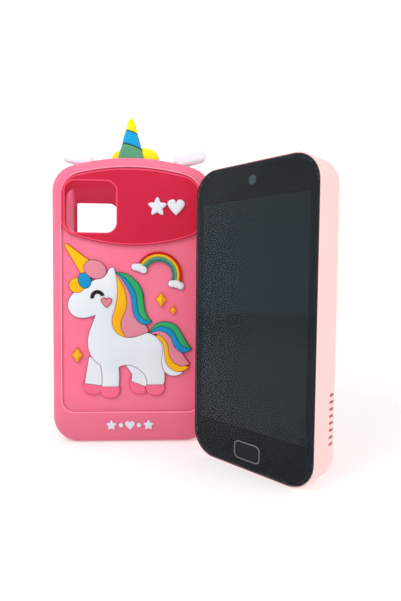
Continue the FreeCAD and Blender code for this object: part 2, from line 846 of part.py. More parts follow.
def card_socket():
    """The metal cage under the board that the memory card slides in."""
    inner_wall = "(sizes.phone_height - sizes.shell_wall)"
    cage = box(
        "cage",
        S("card_across"),
        f"{inner_wall} - 0.3 - 6.8",
        "sizes.card_level - 0.75",
        "sizes.card_width + 1.4",
        "13.6",
        "sizes.board_level - sizes.card_level + 0.75",
    )
    mouth = box(
        "cage_mouth",
        S("card_across"),
        f"{inner_wall} + 0.2 - 6.8",
        "sizes.card_level - sizes.card_thick / 2 - 0.1",
        "sizes.card_width + 0.4",
        "13.6",
        "sizes.card_thick + 0.25",
    )
    return node(less("card_socket", cage, mouth), "card_socket", PHONE_POSE)


def memory_card():
    """The card, pushed in until it is just short of the head's face, with a ridge for the fingernail."""
    end = "(sizes.phone_height - 0.3)"
    level = "(sizes.card_level - sizes.card_thick / 2)"
    sheet_part = box(
        "card_sheet",
        S("card_across"),
        f"{end} - sizes.card_length / 2",
        level,
        S("card_width"),
        S("card_length"),
        S("card_thick"),
    )
    ridge = box(
        "card_ridge",
        S("card_across"),
        f"{end} - 0.3",
        f"{level} - 0.12",
        "sizes.card_width - 2",
        "0.6",
        "0.2",
    )
    return node(fused("memory_card", sheet_part, ridge), "memory_card", PHONE_POSE)


# ---------------------------------------------------------------- phone: side keys


def side_key(label, length, height):
    """A key that slides through the left wall: a rounded cap, and a flange inside."""
    outside = "sizes.phone_width / 2 + sizes.key_proud"
    inside = "sizes.phone_width / 2 - sizes.shell_wall - sizes.inner_gap"
    body = new_body(label)
    cap = sketch_on(body, "YZ_Plane", f"-({outside})")
    rounded_box(cap, length, S("key_thick"), "sizes.key_thick / 2 - 0.1", height, S("key_level"))
    pad(body, cap, f"({outside}) - ({inside})")
    x = -value(outside)
    names = [
        f"Edge{i}"
        for i, edge in enumerate(body.Tip.Shape.Edges, start=1)
        if abs(edge.BoundBox.XMin - x) < 1e-4 and abs(edge.BoundBox.XMax - x) < 1e-4
    ]
    fillet = body.newObject("PartDesign::Fillet", "Fillet")
    fillet.Base = (body.Group[body.Group.index(fillet) - 1], names)
    fillet.Radius = 0.4
    doc.recompute()
    flange = sketch_on(body, "YZ_Plane", f"-({inside})")
    rounded_box(flange, f"({length}) + 1.2", "sizes.key_thick + 0.9", "0.9", height, S("key_level"))
    pad(body, flange, "0.8")
    return node(body, label, PHONE_POSE)


KEYS = (
    ("volume_up_button", "volume_length", "volume_up_height"),
    ("volume_down_button", "volume_length", "volume_down_height"),
    ("power_button", "power_length", "power_height"),
)


def side_switches():
    """The upright strip of board behind the side keys, and one click switch for each."""
    wall = "sizes.phone_width / 2 - sizes.shell_wall"
    blocks = []
    for label, _, height in KEYS:
        across = f"-({wall}) + 2.55"
        block = box(f"{label}_block", across, S(height), "sizes.key_level - 1.4", "1.3", "3.6", "2.8")
        across = f"-({wall}) + 1.65"
        plunger = box(f"{label}_plunger", across, S(height), "sizes.key_level - 0.6", "0.5", "1.6", "1.2")
        blocks.append(fused(f"{label}_switch", block, plunger))
    node(group("side_switches", *blocks), "side_switches", PHONE_POSE)
    strip = box("key_strip", f"-({wall}) + 3.6", "77", "sizes.key_level - 2.2", "0.8", "41", "4.2")
    return node(group("side_key_board", strip), "side_key_board", PHONE_POSE)


# ---------------------------------------------------------------- phone: rear camera and screws

LENSES = ("sizes.lens_across - sizes.lens_spacing", "sizes.lens_across + sizes.lens_spacing")


def rear_camera_island():
    """The dark surround of the two rear lenses and the flash, clipped into the shell's window."""
    body = plate(
        "rear_camera_island",
        S("island_width"),
        S("island_height"),
        S("island_corner"),
        "-sizes.island_proud",
        "0",
        S("lens_across"),
        S("lens_middle"),
    )
    round_level(body, "-sizes.island_proud", "0.35")
    stem = sketch_on(body, "XY_Plane")
    rounded_box(
        stem,
        "sizes.island_width - 1.8",
        "sizes.island_height - 1.8",
        "sizes.island_corner - 0.9",
        S("lens_across"),
        S("lens_middle"),
    )
    pad(body, stem, S("shell_wall"))
    holes = sketch_on(body, "XY_Plane", "-sizes.island_proud")
    rebates = sketch_on(body, "XY_Plane", "-sizes.island_proud")
    for across in LENSES:
        disc(holes, "sizes.lens_radius - 0.4", across, S("lens_middle"))
        disc(rebates, "sizes.lens_radius + 0.05", across, S("lens_middle"))
    disc(holes, "1", S("lens_across"), "sizes.lens_middle + 3.3")
    pocket(body, holes, "sizes.island_proud + sizes.shell_wall", upward=True)
    pocket(body, rebates, "0.5", upward=True)
    return node(body, "rear_camera_island", PHONE_POSE)


def rear_camera_windows():
    """Two round lens glasses in the island, and the flash's small lens."""
    discs = [
        peg(f"lens_glass_{i}", across, S("lens_middle"), "-sizes.island_proud", S("lens_radius"), "0.5")
        for i, across in enumerate(LENSES)
    ]
    flash = peg("flash_lens", S("lens_across"), "sizes.lens_middle + 3.3", "-sizes.island_proud", "0.95", "1")
    return node(group("rear_camera_windows", *discs, flash), "rear_camera_windows", PHONE_POSE)


def rear_camera_module():
    """The camera behind the outer lens: a square block on the board, with its barrel towards the back."""
    block = box("module_block", LENSES[1], S("lens_middle"), "3.9", "8", "8", "sizes.board_level - 3.9")
    barrel = peg("module_barrel", LENSES[1], S("lens_middle"), "0.4", "2.6", "3.5")
    return node(fused("rear_camera_module", block, barrel), "rear_camera_module", PHONE_POSE)


def rear_screws():
    """Four screws from the back, each with a cross recess in its head."""
    screws = []
    for i, (across, up) in enumerate(SCREWS):
        head = peg(f"screw_head_{i}", across, up, "0.15", S("screw_head"), "1")
        shank = peg(f"screw_shank_{i}", across, up, "1.15", S("screw_radius"), "11.1")
        whole = fused(f"screw_body_{i}", head, shank)
        bars = [
            box(f"recess_{i}_{k}", across, up, "0", width, height, "0.7")
            for k, (width, height) in enumerate((("1.8", "0.45"), ("0.45", "1.8")))
        ]
        screws.append(less(f"screw_{i}", whole, fused(f"recess_{i}", *bars)))
    return node(group("rear_screws", *screws), "rear_screws", PHONE_POSE)


# ---------------------------------------------------------------- case: shell and panel

MOUTH = ("window_size", "window_size", "window_corner", "window_across", "window_middle")
MOUTH_RIGHT = "(sizes.window_across + sizes.window_size / 2)"
MOUTH_FOOT = "(sizes.window_middle - sizes.window_size / 2)"
INNER = (
    f"({MOUTH_RIGHT} - sizes.window_inner_left)",
    f"(sizes.window_inner_top - {MOUTH_FOOT})",
    S("window_inner_corner"),
    f"(({MOUTH_RIGHT} + sizes.window_inner_left) / 2)",
    f"((sizes.window_inner_top + {MOUTH_FOOT}) / 2)",
)
OUTER = tuple(S(alias) for alias in MOUTH)
SHARE = "((sizes.recess_level - sizes.pocket_floor) / (sizes.panel_level - sizes.pocket_floor))"
MIDWAY = tuple(f"({a} + ({b} - {a}) * {SHARE})" for a, b in zip(INNER, OUTER))


def funnel(body, low, low_sizes, high, high_sizes):
    """Cuts the part of the camera window's sloping funnel that lies between two levels."""
    before = body.Shape.Volume
    lower = sketch_on(body, "XY_Plane", low)
    rounded_box(lower, *low_sizes)
    upper = sketch_on(body, "XY_Plane", high)
    rounded_box(upper, *high_sizes)
    loft = body.newObject("PartDesign::SubtractiveLoft", "Funnel")
    loft.Profile = lower
    loft.Sections = [upper]
    loft.Ruled = True
    doc.recompute()
    if body.Shape.Volume > before - 100:
        raise RuntimeError(f"the funnel of {body.Label} cut nothing")


def case_shell():
    """The soft pink tub: an arched block with a lipped pocket, a sunk field and its cut-outs."""
    body = new_body("case_shell")
    outline = sketch_on(body, "XY_Plane")
    arched_box(
        outline,
        S("case_width"),
        "0",
        S("case_height"),
        S("case_foot_corner"),
        S("case_top_corner"),
        S("case_crown"),
    )
    pad(body, outline, S("case_depth"))
    round_level(body, S("case_depth"), S("case_front_round"))
    round_level(body, "0", S("case_rear_round"))
    phone_pocket(body)
    field = sketch_on(body, "XY_Plane", S("case_depth"))
    arched_box(field, S("recess_width"), S("recess_foot"), S("recess_crown"), "5.5", "10.5", "93")
    pocket(body, field, "sizes.case_depth - sizes.recess_level")
    funnel(body, S("pocket_floor"), INNER, S("recess_level"), MIDWAY)
    case_cutouts(body)
    return node(body, "case_shell", CASE_POSE)


def phone_pocket(body):
    """The pocket that takes the phone, and the narrower mouth that its lip leaves."""
    middle = "(sizes.pocket_foot + sizes.pocket_height / 2)"
    pocket_plan = sketch_on(body, "XY_Plane", S("lip_thick"))
    rounded_box(pocket_plan, S("pocket_width"), S("pocket_height"), S("pocket_corner"), up=middle)
    pocket(body, pocket_plan, "sizes.pocket_floor - sizes.lip_thick", upward=True)
    mouth = sketch_on(body, "XY_Plane")
    rounded_box(
        mouth,
        "sizes.pocket_width - 2 * sizes.lip_inset",
        "sizes.pocket_height - 2 * sizes.lip_inset",
        "sizes.pocket_corner - sizes.lip_inset",
        up=middle,
    )
    pocket(body, mouth, S("lip_thick"), upward=True)


def case_cutouts(body):
    """The cut-outs for the foot's ports and for the speaker, and the raised pads over the side keys."""
    port_level = "(sizes.pocket_floor - sizes.port_level)"
    foot = sketch_on(body, "XZ_Plane", "0.5")
    rounded_box(foot, "28", "7", "3.4", "1", port_level)
    pocket(body, foot, "sizes.pocket_foot + 1")
    side = sketch_on(body, "YZ_Plane", "-sizes.case_width / 2 - 0.5")
    slots_middle = "(sizes.slot_first + sizes.slot_pitch * (sizes.slot_count - 1) / 2 + sizes.pocket_foot)"
    rounded_box(side, "22", "5", "2.4", slots_middle, "sizes.pocket_floor - sizes.slot_level")
    pocket(body, side, "(sizes.case_width - sizes.pocket_width) / 2 + 1", upward=True)
    pads = sketch_on(body, "YZ_Plane", "sizes.case_width / 2 - 0.5")
    for _, length, height in KEYS:
        rounded_box(
            pads,
            f"sizes.{length} + 1.5",
            "4.6",
            "2.2",
            f"sizes.{height} + sizes.pocket_foot",
            "sizes.pocket_floor - sizes.key_level",
        )
    pad(body, pads, "1.3")


def camera_panel():
    """The crimson plate round the camera window, with bowed upper and lower edges."""
    body = new_body("camera_panel")
    outline = sketch_on(body, "XY_Plane", S("recess_level"))
    arched_box(outline, S("panel_width"), S("panel_foot"), S("panel_crown"), "7", "9.5", "92", "80")
    pad(body, outline, "sizes.panel_level - sizes.recess_level")
    round_level(body, S("panel_level"), S("panel_round"))
    funnel(body, S("recess_level"), MIDWAY, S("panel_level"), OUTER)
    return node(body, "camera_panel", CASE_POSE)


# ---------------------------------------------------------------- case: pictures

RELIEF_FOOT = value(S("recess_level"))
RELIEF_THICK = value(S("relief_thick"))
ON_TOP = {"thick": value(S("inlay_thick")), "foot": RELIEF_FOOT + RELIEF_THICK}


def outline_of(*runs):
    """A closed wire. Each run of points is one smooth curve, or a straight line if there are two points,
    and the runs meet at corners."""
    edges = []
    for run in runs:
        points = [Vector(x, y, 0) for x, y in run]
        if len(points) == 2:
            edges.append(Part.makeLine(*points))
        else:
            curve = Part.BSplineCurve()
            curve.interpolate(points)
            edges.append(curve.toShape())
    return Part.Wire(edges)


def corners(*points):
    """A closed wire of straight lines."""
    return outline_of(*zip(points, points[1:] + points[:1]))


def raised(wire, thick=RELIEF_THICK, foot=RELIEF_FOOT):
    """A flat relief of that outline, which stands on the sunk field unless told otherwise."""
    shape = Part.Face(wire).extrude(Vector(0, 0, thick))
    shape.translate(Vector(0, 0, foot))
    return shape


def behind(shape, *fronts):
    """What is left of a relief where others lie over it, without the slivers that trimming leaves."""
    for front in fronts:
        shape = shape.cut(front)
        shape = Part.makeCompound([piece for piece in shape.Solids if piece.Volume > 1])
        if not shape.Solids:
            raise RuntimeError("nothing is left of a relief")
    return shape


def blob(x, y, across, along, turn=0, **where):
    """An oval relief."""
    oval = Part.Ellipse(Vector(0, 0, 0), max(across, along), min(across, along)).toShape()
    wire = Part.Wire([oval])
    wire.rotate(Vector(0, 0, 0), Vector(0, 0, 1), turn + (90 if along > across else 0))
    wire.translate(Vector(x, y, 0))
    return raised(wire, **where)


def heart(x, y, size, **where):
    """A plain heart, size wide."""
    half = size / 2
    lobe = [(0, 0.42), (0.42, 0.86), (0.98, 0.5), (0.72, -0.22), (0, -0.95)]
    right = [(x + half * a, y + half * b) for a, b in lobe]
    left = [(x - half * a, y + half * b) for a, b in reversed(lobe)]
    return raised(outline_of(right, left), **where)


def star(x, y, radius, **where):
    """A plump five-pointed star with soft points, one smooth run over each point from notch to notch."""
    points = []
    for i in range(11):
        reach = radius if i % 2 else 0.56 * radius
        angle = math.radians(54 + 36 * i)
        points.append((x + reach * math.cos(angle), y + reach * math.sin(angle)))
    runs = [points[i : i + 3] for i in range(0, 10, 2)]
    return raised(outline_of(*runs), **where)


def sparkle(x, y, width, height):
    """A four-pointed twinkle with slightly hollow sides."""
    tips = [(width / 2, 0), (0, height / 2), (-width / 2, 0), (0, -height / 2)]
    runs = []
    for (ax, ay), (bx, by) in zip(tips, tips[1:] + tips[:1]):
        middle = (x + 0.44 * (ax + bx), y + 0.44 * (ay + by))
        runs.append([(x + ax, y + ay), middle, (x + bx, y + by)])
    return raised(outline_of(*runs))


def arch(x, y, inner, outer, start, end, **where):
    """A stretch of a flat ring."""

    def spot(radius, degrees):
        turn = math.radians(degrees)
        return Vector(x + radius * math.cos(turn), y + radius * math.sin(turn), 0)

    middle = (start + end) / 2
    edges = [
        Part.Arc(spot(outer, start), spot(outer, middle), spot(outer, end)).toShape(),
        Part.makeLine(spot(outer, end), spot(inner, end)),
        Part.Arc(spot(inner, end), spot(inner, middle), spot(inner, start)).toShape(),
        Part.makeLine(spot(inner, start), spot(outer, start)),
    ]
    return raised(Part.Wire(edges), **where)


def lock(upper, lower):
    """A lock of hair between two guide curves that start together and end together."""
    return raised(outline_of(upper, lower[::-1]))


def picture_node(label, *shapes):
    """One node of the pictures, as a group of separate solids."""
    solids = [piece for shape in shapes for piece in shape.Solids]
    return node(solid(label, Part.makeCompound(solids)), label, CASE_POSE)


# Ear, neck and back; rump and hind leg; its foot; belly; fore leg and its foot; chest; jaw, muzzle and brow.
PONY = (
    [
        (-7.6, 78.4),
        (-6.5, 73.4),
        (-6.3, 67.5),
        (-7.6, 60),
        (-8.6, 54.3),
        (-6.2, 49.8),
        (-1, 48),
        (3, 48.8),
        (6.6, 50.2),
    ],
    [(6.6, 50.2), (11.4, 48), (14, 43.2), (13.4, 37.4), (14.8, 31.6), (14.2, 26.7)],
    [(14.2, 26.7), (6.8, 26.7)],
    [(6.8, 26.7), (5.6, 31.4), (1.6, 34.6), (-2.4, 35.6), (-5.6, 34.6)],
    [(-5.6, 34.6), (-5.4, 30.4), (-5.7, 25.8)],
    [(-5.7, 25.8), (-13.3, 25.8)],
    [(-13.3, 25.8), (-13.1, 31), (-13.8, 35.6)],
    [(-13.8, 35.6), (-18, 39.8), (-19.4, 46.4), (-17.8, 53), (-15.9, 58)],
    [
        (-15.9, 58),
        (-20.4, 56.7),
        (-25.4, 57.6),
        (-28, 61.6),
        (-26.6, 66.4),
        (-22, 70.2),
        (-15.8, 73.8),
        (-11, 76.2),
    ],
    [(-11, 76.2), (-10.2, 78), (-9.1, 79), (-8.1, 79.1), (-7.6, 78.4)],
)

# Guide curves from the outside in. The first three share edges, and each later pair tucks under the last.
MANE = (
    [(-7.4, 76.8), (0.4, 74.6), (4.6, 68.6), (5.6, 61.4), (9, 55.2)],
    [(-7.4, 76.8), (-1, 72.4), (2, 66.4), (3, 59.4), (9, 55.2)],
    [(-7.4, 76.8), (-2.5, 71.3), (0, 64.8), (1, 58.2), (4.2, 54.2), (9, 55.2)],
    [(-7.4, 76.8), (-1.5, 71.6), (1, 65.4), (2.2, 59.2), (4.9, 55.2), (7.6, 51.6)],
    [(-7.4, 76.8), (-3.6, 70.4), (-2.2, 64.8), (-2.7, 60), (-4.6, 55.4), (-4.2, 51), (-1, 47), (7.6, 51.6)],
    [(-7.4, 76.8), (-2.7, 71), (-1.2, 65), (-1.6, 60), (-3.4, 55.6), (-2.8, 51.6), (1.4, 47.6)],
    [(-7.4, 76.8), (-8.2, 67), (-10, 57), (-8, 49), (1.4, 47.6)],
)
TAIL = (
    [(8, 49.4), (13.4, 55), (19.2, 53.8), (23, 48.6), (26.8, 43.2)],
    [(8, 49.4), (13.4, 53), (18.4, 50.8), (21.2, 46), (26.8, 43.2)],
    [(8, 49.4), (13.4, 50.8), (17.2, 48.2), (19.6, 43.2), (22.8, 41.4), (26.8, 43.2)],
    [(8, 49.4), (13.4, 51.8), (17.8, 49.2), (20.4, 44.4), (23, 40.4), (26, 36.2)],
    [(8, 49.4), (12.8, 48.8), (16, 45), (17, 39.6), (20.4, 35.8), (26, 36.2)],
    [(9.6, 47.6), (13.4, 49.4), (17, 45.6), (18, 40.2), (21.2, 36.6), (25.8, 34.9)],
    [(9.6, 47.6), (13.2, 46.2), (14.6, 41.8), (15.2, 37), (18.8, 33.2), (25.8, 34.9)],
    [(10.4, 46.6), (14, 47), (15.8, 42.6), (16.4, 37.6), (19.4, 34.2), (23, 32.2)],
    [(10.4, 46.6), (12, 42), (12.4, 36.4), (15.6, 31.8), (23, 32.2)],
)


def hair(body, pink_curl, blue_curl, yellow_curl):
    """The mane and the tail: a fan of locks, green on the outside, then blue, pink, yellow and white."""
    for label, low, curl in (("green_locks", 1, None), ("blue_locks", 2, blue_curl)):
        locks = [behind(lock(guides[low - 1], guides[low]), body) for guides in (MANE, TAIL)]
        picture_node(label, *locks, *([curl] if curl else []))
    blue = [lock(guides[1], guides[2]) for guides in (MANE, TAIL)]
    pink = [behind(lock(guides[3], guides[4]), over) for guides, over in zip((MANE, TAIL), blue)]
    picture_node("pink_locks", *(behind(shape, body) for shape in pink), pink_curl)
    yellow = [behind(lock(guides[5], guides[6]), over) for guides, over in zip((MANE, TAIL), pink)]
    yellow[0] = behind(yellow[0], blue[0])
    picture_node("yellow_locks", *(behind(shape, body) for shape in yellow), yellow_curl)
    picture_node("white_lock", behind(lock(TAIL[7], TAIL[8]), yellow[1], body))


def hoof(left, right, top, foot):
    """A hoof: a straight top and a bowed sole."""
    middle, waist = (left + right) / 2, (top + foot) / 2
    sole = [
        (left, top),
        (left - 0.3, waist),
        (left + 1.8, foot + 0.3),
        (middle, foot),
        (right - 1.8, foot + 0.3),
        (right + 0.3, waist),
        (right, top),
    ]
    return raised(outline_of([(right, top), (left, top)], sole))


def pony():
    """The unicorn picture: a plump white pony in profile, with hooves, horn and coloured locks of hair."""
    pink_curl = blob(-16, 78.1, 5.1, 4, -24)
    blue_curl = behind(blob(-20.6, 73.2, 2.8, 3.5, 12), pink_curl)
    yellow_curl = behind(blob(-24, 71.1, 3.4, 3.3), pink_curl, blue_curl)
    body = behind(raised(outline_of(*PONY)), pink_curl, blue_curl, yellow_curl)
    picture_node("unicorn_body", body)
    horn_sides = (
        [(-15.6, 79.8), (-27.8, 88.9)],
        [(-27.8, 88.9), (-28.9, 89.2), (-29.1, 88)],
        [(-29.1, 88), (-21.3, 74.6)],
        [(-21.3, 74.6), (-15.6, 79.8)],
    )
    horn = raised(outline_of(*horn_sides))
    picture_node("unicorn_horn", behind(horn, pink_curl, blue_curl, yellow_curl))
    fore_leg = raised(corners((-18.8, 39.5), (-20.8, 27.4), (-11, 26.1), (-11, 37)))
    hind_leg = raised(corners((-3.2, 36.4), (0.2, 31.6), (-0.2, 28.4), (9, 24.8), (9, 36.4)))
    near = [hoof(-13.5, -5.6, 25.8, 20.8), hoof(6.7, 14.4, 26.7, 21.9)]
    fore_leg, hind_leg = behind(fore_leg, body, *near), behind(hind_leg, body, *near)
    picture_node("unicorn_far_legs", fore_leg, hind_leg)
    far = [hoof(-21, -13, 28.5, 22.4), hoof(-0.6, 7.4, 30, 22.6)]
    far = [behind(shape, *near, body, fore_leg, hind_leg) for shape in far]
    picture_node("unicorn_hooves", *near, *far)
    picture_node("unicorn_eye", arch(-14.9, 66, 1.5, 3.1, 14, 194, **ON_TOP))
    picture_node("unicorn_cheek", heart(-11, 63.7, 4.6, **ON_TOP))
    hair(body, pink_curl, blue_curl, yellow_curl)


def cloud(x, y, turn):
    """Three puffs in a row, run together."""
    tilt = Rotation(Vector(0, 0, 1), turn)
    puffs = []
    for along, up, radius in ((-1.9, -0.2, 1.75), (0, 0.2, 2.05), (1.9, -0.2, 1.8)):
        spot = Vector(x, y, 0) + tilt.multVec(Vector(along, up, 0))
        puffs.append(blob(spot.x, spot.y, radius, radius * 0.94, turn))
    return puffs[0].multiFuse(puffs[1:]).removeSplitter()


def rainbow():
    """A small rainbow of four bands, with a cloud at each end."""
    inner, outer = 6, 10.4
    band = (outer - inner) / 4
    clouds = [cloud(3.3, 79, -18), cloud(19.7, 71.9, -14)]
    picture_node("rainbow_clouds", *clouds)
    for i, colour in enumerate(("blue", "green", "yellow", "red")):
        strip = arch(11.8, 75.9, inner + i * band, inner + (i + 1) * band, -16, 156)
        picture_node(f"rainbow_{colour}", behind(strip, *clouds))


def small_shapes():
    """Twinkles on the field, and plain white shapes on the panel and on the foot of the case."""
    picture_node(
        "sparkles",
        sparkle(12.9, 65, 5, 6.8),
        sparkle(18.3, 60.3, 3.2, 4),
        sparkle(-24, 40.1, 5, 6.8),
    )
    on_panel = {"thick": 1, "foot": value(S("panel_level"))}
    picture_node("panel_shapes", star(11.2, 105.7, 4.2, **on_panel), heart(19.4, 105.8, 7.6, **on_panel))
    on_foot = {"thick": 0.6, "foot": value(S("case_depth"))}
    picture_node(
        "foot_shapes",
        star(-9, 8.4, 2.3, **on_foot),
        blob(-4.7, 8.4, 1, 0.99, **on_foot),
        heart(-0.7, 8.4, 4.3, **on_foot),
        blob(3.3, 8.4, 1, 0.99, **on_foot),
        star(7.6, 8.4, 2.3, **on_foot),
    )


# ---------------------------------------------------------------- case: horn, ears and tufts


def crown_block():
    """A stout cylinder whose skin is the case's arched top, for trimming what stands on it."""
    radius = value(S("case_crown"))
    centre = Vector(0, value("sizes.case_height - sizes.case_crown"), -5)
    return Part.makeCylinder(radius, value(S("case_depth")) + 10, centre)


HORN_CUTS = (134.7, 141.3)
HORN_SLOPE = -16


def horn_cone():
    """The horn's cone from inside the crown to its round tip, and where that tip's middle is."""
    x, z = value(S("horn_across")), value(S("horn_level"))
    foot, shoulder = value("sizes.case_height - 2"), value("sizes.horn_top - sizes.horn_tip_radius")
    wide, tip = value(S("horn_radius")), value(S("horn_tip_radius"))
    cone = Part.makeCone(wide, tip, shoulder - foot, Vector(x, foot, z), Vector(0, 1, 0))
    return cone, Vector(x, shoulder, z)


def standing_horn():
    """A round-tipped cone in three colour bands, parted by sloping cuts."""
    cone, end = horn_cone()
    x, z = end.x, end.z
    horn = cone.fuse(Part.makeSphere(value(S("horn_tip_radius")), end)).cut(crown_block())

    def above(height):
        size = 60
        block = Part.makeBox(size, size, size, Vector(x - size / 2, height, z - size / 2))
        block.rotate(Vector(x, height, z), Vector(0, 0, 1), HORN_SLOPE)
        return block

    blue_up, yellow_up = (above(height) for height in HORN_CUTS)
    bands = {
        "horn_green_band": horn.cut(blue_up),
        "horn_blue_band": horn.common(blue_up).cut(yellow_up),
        "horn_yellow_tip": horn.common(yellow_up),
    }
    for label, shape in bands.items():
        node(solid(label, Part.makeCompound(shape.Solids)), label, CASE_POSE)


def egg(x, y, z, half_length, radius, turn):
    """A round-ended spindle that lies across the case, tilted by turn degrees."""
    oval = Part.Ellipse(Vector(0, 0, 0), half_length, radius)
    half = Part.ArcOfEllipse(oval, 0, math.pi).toShape()
    axis = Part.makeLine(Vector(-half_length, 0, 0), Vector(half_length, 0, 0))
    face = Part.Face(Part.Wire([half, axis]))
    shape = face.revolve(Vector(0, 0, 0), Vector(1, 0, 0), 360)
    shape.rotate(Vector(0, 0, 0), Vector(0, 0, 1), turn)
    shape.translate(Vector(x, y, z))
    return shape


def leaf(tip, tip_radius, root, root_radius):
    """A flat leaf across the case, round at both ends and rounded at its rims."""
    run = Vector(*root, 0) - Vector(*tip, 0)
    lean = math.atan2(run.y, run.x)
    spread = math.acos((tip_radius - root_radius) / run.Length)

    def spot(centre, radius, turn):
        return Vector(centre[0] + radius * math.cos(turn), centre[1] + radius * math.sin(turn), 0)

    upper_tip, lower_tip = (spot(tip, tip_radius, lean + turn) for turn in (spread, -spread))
    upper_root, lower_root = (spot(root, root_radius, lean + turn) for turn in (spread, -spread))
    edges = [
        Part.Arc(upper_tip, spot(tip, tip_radius, lean + math.pi), lower_tip).toShape(),
        Part.makeLine(lower_tip, lower_root),
        Part.Arc(lower_root, spot(root, root_radius, lean), upper_root).toShape(),
        Part.makeLine(upper_root, upper_tip),
    ]
    shape = raised(Part.Wire(edges), thick=EAR_THICK, foot=EAR_MIDDLE - EAR_THICK / 2)
    rims = [edge for edge in shape.Edges if edge.BoundBox.ZLength < 1e-3]
    return shape.makeFillet(EAR_ROUND, rims)


EAR_MIDDLE = 11
EAR_THICK = 4.8
EAR_ROUND = 2


def ears_and_tufts():
    """Two leaf-shaped ears that reach out over the shoulders, and two tufts of hair beside the horn."""
    crown = crown_block()
    ears = [
        leaf((-29.4, 129.7), 3.2, (-21, 127.2), 3),
        leaf((30, 130.9), 3.2, (20.8, 128), 3),
    ]
    ears = [ear.cut(crown).Solids[0] for ear in ears]
    node(solid("ears", Part.makeCompound(ears)), "ears", CASE_POSE)
    horn = horn_cone()[0]
    tufts = [
        egg(-6.6, 130, 5.4, 4.5, 4, 14).cut(crown).cut(horn),
        egg(5.4, 130.4, 6, 5.9, 4.7, -12).cut(crown).cut(horn),
    ]
    tufts = [max(tuft.Solids, key=lambda piece: piece.Volume) for tuft in tufts]
    node(solid("hair_tufts", Part.makeCompound(tufts)), "hair_tufts", CASE_POSE)


# ---------------------------------------------------------------- assembly


def build():
    rear_shell()
    front_frame()
    cover_glass()
    glass_tape()
    screen_mask()
    display_panel()
    display_ribbon()
    front_camera()
    home_ring()
    home_button()
    home_switch()
    main_board()
    board_parts()
    battery()
    battery_leads()
    speaker()
    usb_socket()
    card_socket()
    memory_card()
    for label, length, height in KEYS:
        side_key(label, S(length), S(height))
    side_switches()
    rear_camera_island()
    rear_camera_windows()
    rear_camera_module()
    rear_screws()
    case_shell()
    camera_panel()
    pony()
    rainbow()
    small_shapes()
    standing_horn()
    ears_and_tufts()


def check_and_export():
    """Stops on anything that failed or is not a sound solid, then writes one STEP file for each node."""
    doc.recompute()
    for thing in doc.Objects:
        if {"Invalid", "Error"} & set(thing.State):
            raise RuntimeError(f"{thing.Name} ({thing.Label}) failed: {thing.State}")
    os.makedirs("parts", exist_ok=True)
    for thing in NODES:
        shape = thing.Shape
        if shape.isNull() or not shape.isValid() or not shape.Solids:
            raise RuntimeError(f"{thing.Label} is not a sound solid")
        shape.exportStep(f"parts/{thing.Label}.step")
    print(len(NODES), "nodes written")


build()
check_and_export()
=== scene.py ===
import json
import math
from collections import Counter

import bpy
import numpy as np
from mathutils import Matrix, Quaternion, Vector
from mathutils.geometry import delaunay_2d_cdt


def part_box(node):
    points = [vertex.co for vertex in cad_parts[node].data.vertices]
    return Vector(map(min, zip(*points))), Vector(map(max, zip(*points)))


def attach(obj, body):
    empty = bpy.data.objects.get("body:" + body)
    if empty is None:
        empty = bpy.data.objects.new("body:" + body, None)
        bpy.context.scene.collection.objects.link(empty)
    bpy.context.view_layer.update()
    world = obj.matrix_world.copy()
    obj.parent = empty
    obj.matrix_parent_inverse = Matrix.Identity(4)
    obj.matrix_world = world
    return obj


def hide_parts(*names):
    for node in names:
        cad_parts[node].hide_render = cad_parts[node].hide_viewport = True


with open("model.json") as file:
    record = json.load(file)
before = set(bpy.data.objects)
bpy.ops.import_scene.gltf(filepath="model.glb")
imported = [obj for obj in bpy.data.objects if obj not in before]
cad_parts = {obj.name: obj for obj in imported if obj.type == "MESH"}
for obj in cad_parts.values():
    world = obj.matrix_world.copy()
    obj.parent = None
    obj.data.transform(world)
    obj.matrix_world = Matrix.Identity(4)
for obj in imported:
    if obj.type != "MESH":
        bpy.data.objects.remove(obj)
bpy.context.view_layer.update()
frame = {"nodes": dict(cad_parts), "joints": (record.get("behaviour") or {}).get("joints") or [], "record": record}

MM = 0.001
nodes = frame["nodes"]
joints = {joint["name"]: joint for joint in frame["joints"]}


# ---------------------------------------------------------------- materials


def tint(red, green, blue):
    """A display colour, 0 to 255, as the linear colour that a shader takes."""
    parts = []
    for part in (red, green, blue):
        part = part / 255
        parts.append(part / 12.92 if part <= 0.04045 else ((part + 0.055) / 1.055) ** 2.4)
    return (*parts, 1)


ROUGH_LOW, ROUGH_HIGH = 0.3, 0.7


